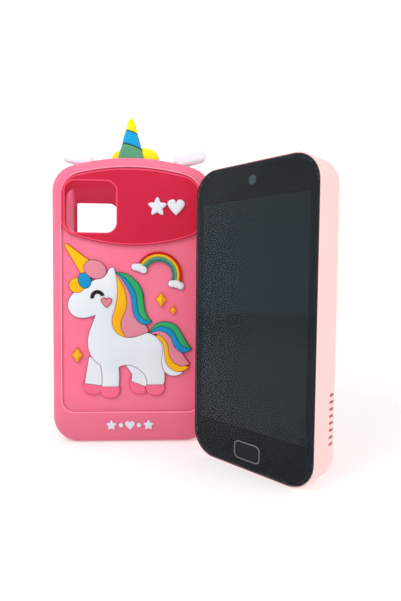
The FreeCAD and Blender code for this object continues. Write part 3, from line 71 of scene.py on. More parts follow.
class Recipe:
    """A material built round one Principled shader. Its patterns lie in the row frame, in metres."""

    def __init__(self, name, **sockets):
        self.material = bpy.data.materials.new(name)
        self.material.use_nodes = True
        self.tree = self.material.node_tree
        self.tree.nodes.clear()
        output = self.tree.nodes.new("ShaderNodeOutputMaterial")
        self.shader = self.tree.nodes.new("ShaderNodeBsdfPrincipled")
        self.tree.links.new(self.shader.outputs[0], output.inputs[0])
        self.place = self.add("TexCoord").outputs["Object"]
        for socket, setting in sockets.items():
            self.shader.inputs[socket.replace("_", " ")].default_value = setting

    def add(self, kind, inputs=None, **settings):
        node = self.tree.nodes.new("ShaderNode" + kind)
        for name, setting in settings.items():
            setattr(node, name, setting)
        for name, thing in (inputs or {}).items():
            self.feed(node.inputs[name], thing)
        return node

    def feed(self, socket, thing):
        if isinstance(thing, bpy.types.NodeSocket):
            self.tree.links.new(thing, socket)
        else:
            socket.default_value = thing

    def on_phone(self, stretch=(1, 1, 1)):
        """Places along the phone: across it, out of its back, and up it."""
        turn = self.add("Mapping", {"Vector": self.place, "Rotation": (0, 0, phone_turn)})
        return self.add("Mapping", {"Vector": turn.outputs[0], "Scale": stretch}).outputs[0]

    def noise(self, scale, detail=2, where=None):
        inputs = {"Vector": where or self.place, "Scale": scale, "Detail": detail}
        return self.add("TexNoise", inputs).outputs["Fac"]

    def cells(self, scale, where=None, feature="F1", distance="EUCLIDEAN"):
        inputs = {"Vector": where or self.place, "Scale": scale}
        return self.add("TexVoronoi", inputs, feature=feature, distance=distance).outputs["Distance"]

    def waves(self, scale, where=None, direction="X"):
        inputs = {"Vector": where or self.place, "Scale": scale}
        return self.add("TexWave", inputs, bands_direction=direction).outputs["Fac"]

    def spread(self, factor, low, high, to_low=0.0, to_high=1.0):
        names = ("Value", "From Min", "From Max", "To Min", "To Max")
        inputs = dict(zip(names, (factor, low, high, to_low, to_high)))
        return self.add("MapRange", inputs).outputs[0]

    def math(self, operation, a, b=0.0):
        return self.add("Math", {0: a, 1: b}, operation=operation).outputs[0]

    def mix(self, factor, a, b):
        return self.add("Mix", {0: factor, 6: a, 7: b}, data_type="RGBA").outputs[2]

    def colour(self, thing):
        self.feed(self.shader.inputs["Base Color"], thing)

    def rough(self, factor, low, high):
        """Roughness from low to high as a pattern goes from its usual low to its usual high."""
        self.feed(self.shader.inputs["Roughness"], self.spread(factor, ROUGH_LOW, ROUGH_HIGH, low, high))

    def bump(self, *layers):
        """Fine relief: each layer is a height from 0 to 1 and how tall it is in metres."""
        normal = None
        for height, tall in layers:
            inputs = {"Height": height, "Distance": tall, "Strength": 1}
            if normal:
                inputs["Normal"] = normal
            normal = self.add("Bump", inputs).outputs[0]
        self.feed(self.shader.inputs["Normal"], normal)


key_axis = joints["power_press"]["axis"]
phone_turn = math.atan2(-key_axis[1], key_axis[0])


def silicone(name, colour, shade, gloss=0.0, is_case=False):
    """Soft moulded silicone: faint clouds in the colour, a bloom of fine dust and a very fine skin."""
    recipe = Recipe(
        name,
        Subsurface_Weight=0.1,
        Subsurface_Radius=(1.0, 0.4, 0.35),
        Subsurface_Scale=0.0009,
        Specular_IOR_Level=0.2,
        Sheen_Weight=0.02,
        Sheen_Roughness=0.45,
    )
    clouds = recipe.noise(34, 3)
    grain = recipe.noise(1500, 3)
    dust = recipe.spread(recipe.noise(420, 4), 0.6, 0.8)
    body = recipe.mix(recipe.spread(clouds, 0.35, 0.7), colour, shade)
    bloom = tuple(0.93 * part + 0.07 for part in colour[:3]) + (1,)
    body = recipe.mix(recipe.math("MULTIPLY", dust, 0.16), body, bloom)
    if is_case:
        # On the case, painted shade: darker towards the foot and towards the right side.
        body = painted_shade_ends(recipe, body, colour)
        body = recipe.mix(window_flush(recipe), body, darker(CRIMSON, 0.9))
    recipe.colour(recipe.mix(recipe.spread(grain, 0.3, 0.75, 0, 0.12), body, shade))
    recipe.rough(clouds, 0.44 - gloss, 0.56 - gloss)
    recipe.bump((grain, 0.000016), (recipe.noise(170, 2), 0.00005))
    return recipe.material


def darker(colour, share):
    return tuple(part * share for part in colour[:3]) + (1,)


def painted_shade_ends(recipe, body, colour):
    """The body colour with painted shade: a little darker towards the case's foot, which gets less light, and
    towards its right side, in the phone's shadow.
    """
    across, _, up = recipe.add("SeparateXYZ", {"Vector": recipe.place}).outputs
    # Painted shade: darker towards the case's foot.
    body = recipe.mix(recipe.spread(up, 24 * MM, 6 * MM, 0, 0.6), body, darker(colour, 0.72))
    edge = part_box("case_shell")[1].x
    # Painted shadow of the phone over the case's right side.
    painted_side_shadow = recipe.spread(across, edge - 26 * MM, edge - 6 * MM, 0, 0.5)
    return recipe.mix(painted_side_shadow, body, darker(colour, 0.74))


# The funnel behind the camera window, in millimetres. Each pair is where the flush starts and where it is
# full: across from the case's middle, up from the funnel's ceiling, and back from the panel.
FUNNEL_RISE = 1.82
FUNNEL_DROP = 8.6
FLUSH_LEFT, FLUSH_RIGHT = (-27.5, -25.5), (-5.2, -5.6)
FLUSH_UNDER, FLUSH_OVER = (-7, -1), (0.9, 0.5)
FLUSH_BACK = (3.3, 3.2)


def window_flush(recipe):
    """How crimson the case is on the upper wall of its camera window: the funnel behind the panel."""
    panel_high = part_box("camera_panel")[1] / MM
    case_low, case_high = (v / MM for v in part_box("case_shell"))
    middle = (case_low.x + case_high.x) / 2
    place = recipe.add("VectorMath", {0: recipe.place, 1: (1 / MM,) * 3}, operation="MULTIPLY").outputs[0]
    x, y, z = recipe.add("SeparateXYZ", {"Vector": place}).outputs
    across = recipe.math("SUBTRACT", x, middle)
    back = recipe.math("SUBTRACT", y, panel_high.y)
    slope = {0: back, 1: -FUNNEL_RISE, 2: panel_high.z - FUNNEL_DROP}
    ceiling = recipe.add("Math", slope, operation="MULTIPLY_ADD").outputs[0]
    under = recipe.math("SUBTRACT", z, ceiling)
    share = recipe.spread(under, *FLUSH_UNDER)
    limits = ((under, FLUSH_OVER), (across, FLUSH_LEFT), (across, FLUSH_RIGHT), (back, FLUSH_BACK))
    for factor, ends in limits:
        share = recipe.math("MULTIPLY", share, recipe.spread(factor, *ends))
    return share


def moulded(name, colour, rough=(0.34, 0.46), tall=0.000018, grain=2600, shine=0.5):
    """Hard plastic from a spark-eroded mould, with faint handling marks."""
    recipe = Recipe(name, Specular_IOR_Level=shine)
    pits = recipe.cells(grain)
    clouds = recipe.noise(26, 3)
    marks = recipe.spread(recipe.noise(95, 5, recipe.on_phone((6, 1, 1))), 0.62, 0.75)
    body = recipe.mix(recipe.spread(clouds, 0.3, 0.7), colour, darker(colour, 0.95))
    recipe.colour(recipe.mix(recipe.math("MULTIPLY", marks, 0.06), body, darker(colour, 0.8)))
    recipe.rough(recipe.math("ADD", clouds, recipe.math("MULTIPLY", marks, -0.2)), *rough)
    recipe.bump((pits, tall), (recipe.noise(300, 2), tall))
    return recipe.material


def metal(name, colour, rough=(0.25, 0.4), stretch=(1, 1, 14)):
    """Rolled or turned metal with a brushed grain."""
    recipe = Recipe(name, Metallic=1.0)
    streaks = recipe.noise(700, 3, recipe.on_phone(stretch))
    stains = recipe.noise(120, 3)
    body = recipe.mix(recipe.spread(stains, 0.35, 0.7), colour, darker(colour, 0.8))
    recipe.colour(recipe.mix(recipe.spread(streaks, 0.3, 0.7, 0, 0.3), body, darker(colour, 0.7)))
    recipe.rough(streaks, *rough)
    recipe.bump((streaks, 0.000006), (stains, 0.00001))
    return recipe.material


def cover_glass():
    """Clear hardened glass with finger grease on it."""
    recipe = Recipe("cover_glass", Transmission_Weight=1.0, IOR=1.25, Specular_Tint=(0.86, 0.95, 1, 1))
    smears = recipe.noise(60, 4, recipe.on_phone((3, 1, 1)))
    recipe.colour(recipe.mix(smears, tint(190, 205, 214), tint(176, 194, 206)))
    recipe.rough(smears, 0.0, 0.035)
    recipe.bump((recipe.noise(45, 1), 0.000001))
    return recipe.material


def printed_black():
    """Screen ink on the back of the glass."""
    recipe = Recipe("black_print", Specular_IOR_Level=0.2)
    grain = recipe.noise(1800, 2)
    recipe.colour(recipe.mix(grain, (0.0035, 0.0038, 0.0045, 1), (0.006, 0.0065, 0.0075, 1)))
    recipe.rough(grain, 0.35, 0.5)
    recipe.bump((grain, 0.000004))
    return recipe.material


def unlit_display():
    """A dark panel behind a polariser, with its fine grid of cells."""
    recipe = Recipe("display", Specular_IOR_Level=0.35)
    where = recipe.on_phone()
    grid = recipe.math("MULTIPLY", recipe.waves(900, where, "X"), recipe.waves(900, where, "Z"))
    sheen = recipe.noise(14, 2)
    body = recipe.mix(sheen, (0.0045, 0.0065, 0.009, 1), (0.007, 0.0095, 0.012, 1))
    recipe.colour(recipe.mix(recipe.spread(grid, 0, 1, 0, 0.25), body, (0.004, 0.0045, 0.006, 1)))
    recipe.rough(sheen, 0.18, 0.26)
    recipe.bump((grid, 0.000002))
    return recipe.material


def circuit_board():
    """Green solder mask over copper tracks, with bright plated spots."""
    recipe = Recipe("board_green", Specular_IOR_Level=0.5)
    where = recipe.on_phone()
    tracks = recipe.spread(recipe.cells(330, where, "F1", "CHEBYCHEV"), 0.42, 0.46)
    spots = recipe.spread(recipe.cells(520, where), 0.16, 0.12)
    mask = recipe.mix(tracks, tint(14, 92, 52), tint(30, 122, 66))
    recipe.colour(recipe.mix(spots, mask, tint(214, 178, 92)))
    recipe.rough(recipe.noise(200), 0.25, 0.4)
    recipe.bump((tracks, 0.00003), (spots, 0.00002))
    return recipe.material


def dust_mesh():
    """A crimson weave behind the speaker slots."""
    recipe = Recipe("mesh_crimson", Specular_IOR_Level=0.3, Sheen_Weight=0.2)
    where = recipe.on_phone()
    weave = recipe.math("MAXIMUM", recipe.waves(1100, where, "Y"), recipe.waves(1100, where, "Z"))
    recipe.colour(recipe.mix(weave, tint(64, 4, 12), tint(156, 26, 46)))
    recipe.rough(weave, 0.5, 0.7)
    recipe.bump((weave, 0.00008))
    return recipe.material


def foil_pouch():
    """The battery's crinkled foil, flecked paler in places."""
    recipe = Recipe("battery_foil", Metallic=0.75)
    creases = recipe.cells(190, feature="SMOOTH_F1")
    fine = recipe.noise(900, 3)
    body = recipe.mix(recipe.spread(creases, 0.2, 0.6), tint(206, 208, 212), tint(170, 174, 182))
    recipe.colour(recipe.mix(recipe.spread(fine, 0.4, 0.7, 0, 0.3), body, tint(228, 230, 232)))
    recipe.rough(creases, 0.25, 0.42)
    recipe.bump((creases, 0.00018), (fine, 0.00002))
    return recipe.material


def polyimide():
    """Amber film with copper runs along it."""
    recipe = Recipe("ribbon_amber", Specular_IOR_Level=0.6, Coat_Weight=0.3)
    runs = recipe.waves(500, recipe.on_phone(), "X")
    recipe.colour(recipe.mix(runs, tint(176, 96, 26), tint(214, 138, 52)))
    recipe.rough(recipe.noise(150), 0.2, 0.35)
    recipe.bump((runs, 0.00003))
    return recipe.material


def lens():
    """Coated camera glass: dark, with a violet and blue bloom."""
    recipe = Recipe("lens_glass", Specular_IOR_Level=0.8, Coat_Weight=1.0, Coat_Roughness=0.02)
    bloom = recipe.noise(260, 1)
    rings = recipe.cells(120)
    body = recipe.mix(bloom, (0.010, 0.012, 0.030, 1), (0.028, 0.010, 0.040, 1))
    recipe.colour(recipe.mix(recipe.spread(rings, 0.1, 0.5), tint(20, 34, 66), body))
    recipe.rough(bloom, 0.03, 0.09)
    recipe.bump((rings, 0.00002))
    return recipe.material


def card_skin():
    """A memory card: dull black, with gilt contacts across one end."""
    recipe = Recipe("card_black", Specular_IOR_Level=0.4)
    where = recipe.on_phone()
    stripes = recipe.spread(recipe.waves(260, where, "X"), 0.4, 0.5)
    up = recipe.add("SeparateXYZ", {"Vector": where}).outputs["Z"]
    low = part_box("memory_card")[0].z
    contacts = recipe.math("MULTIPLY", stripes, recipe.spread(up, low + 4 * MM, low + 3.9 * MM))
    grain = recipe.noise(1600, 2)
    recipe.colour(recipe.mix(contacts, tint(34, 34, 36), tint(206, 170, 90)))
    recipe.rough(grain, 0.4, 0.55)
    recipe.bump((grain, 0.00001), (contacts, 0.00003))
    return recipe.material


PINK = tint(226, 115, 142)
CRIMSON = tint(186, 25, 60)
WHITE = tint(213, 218, 224)

FINISHES = {
    "pale_pink_abs": moulded("pale_pink_abs", tint(252, 201, 199)),
    "cover_glass": cover_glass(),
    "black_print": printed_black(),
    "black_tape": moulded("black_tape", tint(28, 28, 30), (0.7, 0.85), 0.00006, 1200),
    "display": unlit_display(),
    "ribbon_amber": polyimide(),
    "board_green": circuit_board(),
    "tin": metal("tin", tint(212, 212, 206)),
    "chip_black": moulded("chip_black", tint(30, 30, 32), (0.5, 0.65)),
    "connector_ivory": moulded("connector_ivory", tint(226, 218, 196), (0.35, 0.5)),
    "battery_foil": foil_pouch(),
    "lead_red": moulded("lead_red", tint(196, 26, 22), (0.3, 0.4), 0.00001, 900),
    "mesh_crimson": dust_mesh(),
    "speaker_black": moulded("speaker_black", tint(34, 34, 36), (0.45, 0.6)),
    "lens_block": moulded("lens_block", tint(112, 116, 112), (0.2, 0.3)),
    "lens_glass": lens(),
    "ring_metal": metal("ring_metal", tint(140, 144, 148), (0.28, 0.4), (1, 1, 3)),
    "key_black": moulded("key_black", tint(20, 20, 26), (0.12, 0.2), 0.000004, 1800, 0.18),
    "screw_steel": metal("screw_steel", tint(190, 190, 188), (0.22, 0.36), (1, 1, 1)),
    "card_black": card_skin(),
    "silicone_pink": silicone("silicone_pink", PINK, tint(230, 105, 135), is_case=True),
    "silicone_crimson": silicone("silicone_crimson", CRIMSON, tint(184, 20, 52)),
    "silicone_white": silicone("silicone_white", WHITE, tint(204, 211, 219), 0.08),
    "silicone_pearl": silicone("silicone_pearl", tint(228, 228, 236), tint(218, 219, 231)),
    "silicone_yellow": silicone("silicone_yellow", tint(230, 176, 5), tint(222, 158, 6), 0.08),
    "silicone_lemon": silicone("silicone_lemon", tint(250, 230, 24), tint(242, 210, 18), 0.06),
    "silicone_blue": silicone("silicone_blue", tint(4, 136, 188), tint(3, 122, 176), 0.08),
    "silicone_sky": silicone("silicone_sky", tint(3, 154, 206), tint(2, 142, 194), 0.06),
    "silicone_green": silicone("silicone_green", tint(44, 158, 92), tint(34, 142, 86), 0.08),
    "silicone_sage": silicone("silicone_sage", tint(84, 150, 112), tint(72, 136, 104), 0.06),
    "silicone_teal": silicone("silicone_teal", tint(58, 116, 104), tint(46, 104, 98), 0.08),
    "silicone_red": silicone("silicone_red", tint(182, 18, 4), tint(166, 12, 3), 0.08),
    "silicone_rose": silicone("silicone_rose", tint(208, 128, 146), tint(199, 118, 138), 0.08),
    "silicone_hoof": silicone("silicone_hoof", tint(228, 104, 134), tint(218, 92, 124), 0.06),
    "silicone_black": silicone("silicone_black", tint(20, 6, 10), tint(12, 4, 6), 0.1),
}

LINES = {
    # Dark outline colours: partly the moulded outlines of the reliefs, partly painted shade in the grooves round
    # them.
    "mauve": silicone("line_mauve", tint(148, 66, 98), tint(130, 54, 86)),
    "plum": silicone("line_plum", tint(96, 28, 62), tint(82, 22, 54)),
    "teal": silicone("line_teal", tint(4, 66, 78), tint(3, 54, 66)),
    "rust": silicone("line_rust", tint(150, 46, 16), tint(132, 38, 12)),
    "amber": silicone("line_amber", tint(214, 112, 34), tint(202, 98, 28)),
    "cherry": silicone("line_cherry", tint(168, 30, 64), tint(152, 24, 54)),
    "rose": silicone("line_rose", tint(204, 64, 98), tint(192, 54, 88)),
    # Painted highlights: these two are lighter than the panel and the case beneath, for light along their rounded
    # edges.
    "rim_highlight_red": silicone("line_rim_highlight_red", tint(228, 76, 106), tint(218, 64, 94)),
    "rim_highlight_pink": silicone("line_rim_highlight_pink", tint(248, 150, 176), tint(244, 138, 166)),
}

for part in frame["record"]["subparts"]:
    mesh = nodes[part["node"]].data
    mesh.materials.clear()
    mesh.materials.append(FINISHES[part["material_slot"]])


# ---------------------------------------------------------------- puffed reliefs of the case


LEVEL_SLACK = 0.001


def level_loops(node, at_front=False):
    """The outlines of a node's flat foot, or of its flat front, in millimetres as (x, z), and both levels."""
    mesh = nodes[node].data
    points = np.array([v.co for v in mesh.vertices]) / MM
    foot, front = points[:, 1].max(), points[:, 1].min()
    level = front if at_front else foot
    index, places, seen = {}, [], Counter()
    for face in mesh.polygons:
        if max(abs(points[v, 1] - level) for v in face.vertices) > LEVEL_SLACK:
            continue
        ring = []
        for v in face.vertices:
            spot = (round(points[v, 0], 3), round(points[v, 2], 3))
            if spot not in index:
                index[spot] = len(places)
                places.append(spot)
            ring.append(index[spot])
        seen.update(zip(ring, ring[1:] + ring[:1]))
    follow = {}
    for (a, b), times in sorted(seen.items()):
        follow.setdefault(b, []).extend([a] * (times - seen.get((b, a), 0)))
    loops = []
    while any(follow.values()):
        start = next(i for i in follow if follow[i])
        loop, at = [start], follow[start].pop()
        while at != start:
            loop.append(at)
            at = follow[at].pop()
        loops.append(np.array([places[i] for i in loop]))
    return loops, foot, front


CORNER = math.radians(30)


def evenly(loop, step):
    """The loop with points an even step apart between its corners, which stay."""
    before, after = loop - np.roll(loop, 1, 0), np.roll(loop, -1, 0) - loop
    turn = np.arctan2(before[:, 0] * after[:, 1] - before[:, 1] * after[:, 0], (before * after).sum(1))
    sharp = [i for i in range(len(loop)) if abs(turn[i]) > CORNER] or [0]
    made = []
    for a, b in zip(sharp, sharp[1:] + [sharp[0] + len(loop)]):
        run = loop[[i % len(loop) for i in range(a, b + 1)]]
        along = np.concatenate([[0], np.cumsum(np.linalg.norm(np.diff(run, axis=0), axis=1))])
        count = max(1, round(along[-1] / step))
        stops = np.linspace(0, along[-1], count + 1)[:-1]
        made.append(np.stack([np.interp(stops, along, run[:, 0]), np.interp(stops, along, run[:, 1])], 1))
    return np.concatenate(made)


def inward(loop):
    """A unit vector at each point of a loop, towards what the loop bounds."""
    along = np.roll(loop, -1, 0) - np.roll(loop, 1, 0)
    along /= np.maximum(np.linalg.norm(along, axis=1, keepdims=True), 1e-9)
    return np.stack([-along[:, 1], along[:, 0]], 1)


SPOTS_AT_ONCE = 500


def reach(spots, loops):
    """How far each spot is from the nearest outline, and whether it is inside."""
    starts = np.concatenate(loops)
    ends = np.concatenate([np.roll(loop, -1, 0) for loop in loops])
    run = ends - starts
    length = np.maximum((run**2).sum(1), 1e-12)
    away, inside = [], []
    for part in np.array_split(spots, max(1, len(spots) // SPOTS_AT_ONCE)):
        offset = part[:, None] - starts[None]
        share = np.clip((offset * run).sum(2) / length, 0, 1)
        away.append(np.linalg.norm(offset - share[..., None] * run, axis=2).min(1))
        above = (starts[None, :, 1] > part[:, None, 1]) != (ends[None, :, 1] > part[:, None, 1])
        rise = np.where(run[:, 1] == 0, 1e-12, run[:, 1])
        cross = starts[None, :, 0] + (part[:, None, 1] - starts[None, :, 1]) * run[:, 0] / rise
        inside.append((above & (part[:, None, 0] < cross)).sum(1) % 2 == 1)
    return np.concatenate(away), np.concatenate(inside)


def filled(spots, loops):
    """Triangles over the spots, inside the outlines, and the places that they use."""
    edges, first = [], 0
    for loop in loops:
        edges += [(first + i, first + (i + 1) % len(loop)) for i in range(len(loop))]
        first += len(loop)
    places, _, faces, *_ = delaunay_2d_cdt([Vector(s) for s in spots], edges, [], 0, 1e-5)
    places = np.array([tuple(p) for p in places])
    faces = [list(f) for f in faces]
    middles = np.array([places[f].mean(0) for f in faces])
    keep = reach(middles, loops)[1]
    faces = [f for f, wanted in zip(faces, keep) if wanted]
    for face in faces:
        a, b, c = places[face[0]], places[face[1]], places[face[2]]
        if (b[0] - a[0]) * (c[1] - a[1]) - (b[1] - a[1]) * (c[0] - a[0]) < 0:
            face.reverse()
    return places, faces


def tube_faces(count, sides):
    """The faces of a closed tube of count rings of points, sides points in each."""
    faces = []
    for i in range(count):
        for k in range(sides):
            here, ahead, beside = i * sides, (i + 1) % count * sides, (k + 1) % sides
            faces.append([here + k, here + beside, ahead + beside, ahead + k])
    return faces


def bead(loop, level, radius, verts, faces, sides=6):
    """A thin line of silicone along an outline, added to the lists as a closed tube."""
    first = len(verts)
    for spot, side in zip(loop, inward(loop)):
        for k in range(sides):
            turn = 2 * math.pi * k / sides
            across, up = radius * math.cos(turn), radius * math.sin(turn)
            verts.append((spot[0] + across * side[0], level - up, spot[1] + across * side[1]))
    faces += [[first + i for i in face] for face in tube_faces(len(loop), sides)]


def new_mesh(name, verts, faces, materials, picks=None):
    mesh = bpy.data.meshes.new(name)
    mesh.from_pydata([tuple(MM * c for c in v) for v in verts], [], faces)
    for material in materials:
        mesh.materials.append(material)
    mesh.polygons.foreach_set("use_smooth", [True] * len(mesh.polygons))
    if picks:
        mesh.polygons.foreach_set("material_index", picks)
    mesh.validate()
    piece = bpy.data.objects.new(name, mesh)
    bpy.context.scene.collection.objects.link(piece)
    return piece


SHOULDER_RINGS = (0.06, 0.2, 0.4, 0.66, 1.0)
FINEST_GRID = 0.45
WALL_SHARE = 0.35
BEAD_RADIUS = 0.19
BEAD_SINK = 0.08


def front_spots(loops, shoulder, step):
    """Points for a relief's front: its outlines, rings over its round shoulder, then an even grid."""
    spots = [*loops]
    for share in SHOULDER_RINGS:
        ring = np.concatenate([loop + share * shoulder * inward(loop) for loop in loops])
        away, inside = reach(ring, loops)
        spots.append(ring[inside & (away > 0.9 * share * shoulder)])
    every = np.concatenate(loops)
    low, high = every.min(0), every.max(0)
    pitch = max(FINEST_GRID, 1.8 * step)
    xs, zs = np.arange(low[0], high[0], pitch), np.arange(low[1], high[1], pitch * 0.866)
    grid = np.array([(x + (row % 2) * pitch / 2, z) for row, z in enumerate(zs) for x in xs])
    away, inside = reach(grid, loops)
    spots.append(grid[inside & (away > shoulder + 0.3 * pitch)])
    return np.concatenate(spots)


def puffed(name, node, slot, line=None, shoulder=0.55, swell=0.25, soft=2.0, roof=None, step=0.3, lift=0.0):
    """A soft relief over a flat CAD one: a short wall, a round shoulder and a front that swells gently over
    its soft width. With a line, a bead runs along its outline. With a roof, the front rises to ridges."""
    loops, foot, front = level_loops(node)
    loops = [evenly(loop, step) for loop in loops]
    thick = foot - front
    wall = max(WALL_SHARE * thick, thick - shoulder)
    places, faces = filled(front_spots(loops, shoulder, step), loops)
    away, _ = reach(places, loops)
    if roof:
        height = wall + roof * away
    else:
        share = np.clip(away / shoulder, 0, 1)
        height = wall + (thick - wall) * np.sqrt(1 - (1 - share) ** 2)
        height = height + swell * (1 - np.exp(-np.maximum(away - 0.3 * shoulder, 0) / soft))
    verts = [(x, foot - h + lift, z) for (x, z), h in zip(places, height)]
    rim = {(a, b) for f in faces for a, b in zip(f, f[1:] + f[:1])}
    rim = [(a, b) for a, b in rim if (b, a) not in rim]
    below = {}
    for a, _ in rim:
        below[a] = len(verts)
        verts.append((places[a][0], foot, places[a][1]))
    faces += [[b, a, below[a], below[b]] for a, b in rim]
    under, closing = filled(np.concatenate(loops), loops)
    first = len(verts)
    verts += [(x, foot, z) for x, z in under]
    faces += [[first + i for i in reversed(f)] for f in closing]
    picks = [0] * len(faces)
    materials = [FINISHES[slot]]
    # The dark bead is partly the relief's moulded outline, partly painted shade in the groove round it.
    if line:
        materials.append(LINES[line])
        for loop in loops:
            bead(loop, foot - wall - BEAD_SINK + lift, BEAD_RADIUS, verts, faces)
        picks += [1] * (len(faces) - len(picks))
    piece = new_mesh(name, verts, faces, materials, picks)
    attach(piece, "case")
    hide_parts(node)


WHITE_BODY = {"shoulder": 0.7, "swell": 0.45, "soft": 3.5}
ON_FACE = {"step": 0.15, "lift": -0.45}
ARC = {"shoulder": 0.35, "swell": 0.05, "step": 0.2}

RELIEFS = (
    ("pony_body", "unicorn_body", "silicone_white", "mauve", WHITE_BODY),
    ("pony_far_legs", "unicorn_far_legs", "silicone_white", "mauve", {"swell": -0.1}),
    ("pony_hooves", "unicorn_hooves", "silicone_hoof", "rose", {"swell": 0.1}),
    ("pony_horn", "unicorn_horn", "silicone_yellow", "rust", {"swell": 0.3}),
    ("pony_eye", "unicorn_eye", "silicone_black", None, {"shoulder": 0.4, "swell": 0.1, **ON_FACE}),
    ("pony_cheek", "unicorn_cheek", "silicone_rose", "cherry", {"shoulder": 0.3, "swell": 0.12, **ON_FACE}),
    ("hair_green", "green_locks", "silicone_green", "teal", {"swell": 0.1}),
    ("hair_blue", "blue_locks", "silicone_blue", "teal", {"swell": 0.15}),
    ("hair_pink", "pink_locks", "silicone_rose", "plum", {"swell": 0.25}),
    ("hair_yellow", "yellow_locks", "silicone_yellow", "rust", {"swell": 0.2}),
    ("hair_white", "white_lock", "silicone_white", "mauve", {"swell": 0.05}),
    ("clouds", "rainbow_clouds", "silicone_white", "mauve", {"shoulder": 0.9, "swell": 0.5, "step": 0.22}),
    ("arc_blue", "rainbow_blue", "silicone_teal", None, ARC),
    ("arc_green", "rainbow_green", "silicone_sage", None, ARC),
    ("arc_yellow", "rainbow_yellow", "silicone_yellow", None, ARC),
    ("arc_red", "rainbow_red", "silicone_red", None, ARC),
    ("twinkles", "sparkles", "silicone_yellow", "amber", {"shoulder": 0.3, "roof": 0.75, "step": 0.18}),
    (
        "panel_star_and_heart",
        "panel_shapes",
        "silicone_white",
        None,
        {"shoulder": 0.6, "swell": 0.4, "step": 0.22},
    ),
    ("foot_row", "foot_shapes", "silicone_white", None, {"shoulder": 0.35, "swell": 0.15, "step": 0.15}),
)

for name, node, slot, line, shape in RELIEFS:
    puffed(name, node, slot, line, **shape)


def rim_lines(name, node, line, radius, sink, wanted):
    """Soft raised lines along the wanted outlines of a node's flat front, counted from the widest; their lighter
    colour is a painted highlight on the rounded rim.
    """
    loops, _, front = level_loops(node, at_front=True)
    loops.sort(key=lambda loop: -np.ptp(loop[:, 0]))
    verts, faces = [], []
    for number in wanted:
        bead(evenly(loops[number], 0.4), front + sink, radius, verts, faces, sides=10)
    piece = new_mesh(name, verts, faces, [LINES[line]])
    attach(piece, "case")


# Raised lines whose lighter colour is a painted highlight along the rims of the panel, its window and the case's
# field.
rim_lines("panel_rim_highlights", "camera_panel", "rim_highlight_red", 0.3, 0.14, (0, 1))
rim_lines("field_rim_highlight", "case_shell", "rim_highlight_pink", 0.3, 0.16, (1,))


# ---------------------------------------------------------------- standing horn

HORN_SLOPE = math.tan(math.radians(16))
HORN_TIP = 1.4
HORN_AROUND, HORN_ROWS = 96, 28
SEAM_REACH, SEAM_WIDTH, SEAM_DEPTH = 7, 0.45, 0.34
BULGE = 0.16
BURIED = 0.3
CORD_RADIUS, CORD_SINK, CORD_SIDES = 0.2, 0.16, 8
SETTLE = 4

horn_low, horn_high = (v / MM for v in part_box("horn_green_band"))
horn_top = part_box("horn_yellow_tip")[1].z / MM
horn_middle = (horn_low + horn_high) / 2
horn_foot = (horn_high.x - horn_low.x) / 2
blue_low, blue_high = (v.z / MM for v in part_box("horn_blue_band"))


def horn_radius(z):
    """The radius of the round-tipped cone at a height."""
    shoulder = horn_top - HORN_TIP
    if z > shoulder:
        return math.sqrt(max(HORN_TIP**2 - (z - shoulder) ** 2, 0))
    return horn_foot + (HORN_TIP - horn_foot) * (z - horn_low.z) / (shoulder - horn_low.z)


HORN_SEAMS = (
    lambda x: horn_low.z - BURIED,
    lambda x: blue_low + HORN_SLOPE * (horn_radius(blue_low) - x),
    lambda x: blue_high - HORN_SLOPE * (horn_radius(blue_high) + x),
    lambda x: horn_top,
)


def on_cone(turn, height, start):
    """The radius and height where a surface of that height over x meets the cone, that far round it."""
    radius = horn_radius(start)
    for _ in range(SETTLE):
        z = height(radius * math.cos(turn))
        radius = horn_radius(z)
    return radius, z


def horn_band(name, node, slot, number):
    """A plump band of the horn, which bulges between its sloping seams and dips towards them."""
    below, above = HORN_SEAMS[number], HORN_SEAMS[number + 1]
    verts = []
    for i in range(HORN_ROWS + 1):
        share = i / HORN_ROWS
        for j in range(HORN_AROUND):
            turn = 2 * math.pi * j / HORN_AROUND
            radius, z = on_cone(turn, lambda x: below(x) * (1 - share) + above(x) * share, below(0))
            from_seam = min(share if number else 1, (1 - share) if number < 2 else 1) * SEAM_REACH
            dip = SEAM_DEPTH * math.exp(-((from_seam / SEAM_WIDTH) ** 2))
            bulge = BULGE * math.sin(math.pi * share) if radius > HORN_TIP else 0
            r = max(radius + bulge - min(dip, radius), 0.001)
            verts.append((horn_middle.x + r * math.cos(turn), horn_middle.y + r * math.sin(turn), z))
    faces = []
    for i in range(HORN_ROWS):
        for j in range(HORN_AROUND):
            a, b = i * HORN_AROUND + j, i * HORN_AROUND + (j + 1) % HORN_AROUND
            faces.append([a, b, b + HORN_AROUND, a + HORN_AROUND])
    faces.append(list(reversed(range(HORN_AROUND))))
    faces.append(list(range(HORN_ROWS * HORN_AROUND, (HORN_ROWS + 1) * HORN_AROUND)))
    piece = new_mesh(name, verts, faces, [FINISHES[slot]])
    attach(piece, "case")
    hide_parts(node)


def horn_seam(name, seam):
    """A dark cord round the horn, in the groove between two bands."""
    verts = []
    for j in range(HORN_AROUND):
        turn = 2 * math.pi * j / HORN_AROUND
        radius, z = on_cone(turn, seam, seam(0))
        for k in range(CORD_SIDES):
            lean = 2 * math.pi * k / CORD_SIDES
            out = radius - CORD_SINK + CORD_RADIUS * math.cos(lean)
            across, along = out * math.cos(turn), out * math.sin(turn)
            verts.append((horn_middle.x + across, horn_middle.y + along, z + CORD_RADIUS * math.sin(lean)))
    faces = [list(reversed(face)) for face in tube_faces(HORN_AROUND, CORD_SIDES)]
    piece = new_mesh(name, verts, faces, [LINES["teal"]])
    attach(piece, "case")


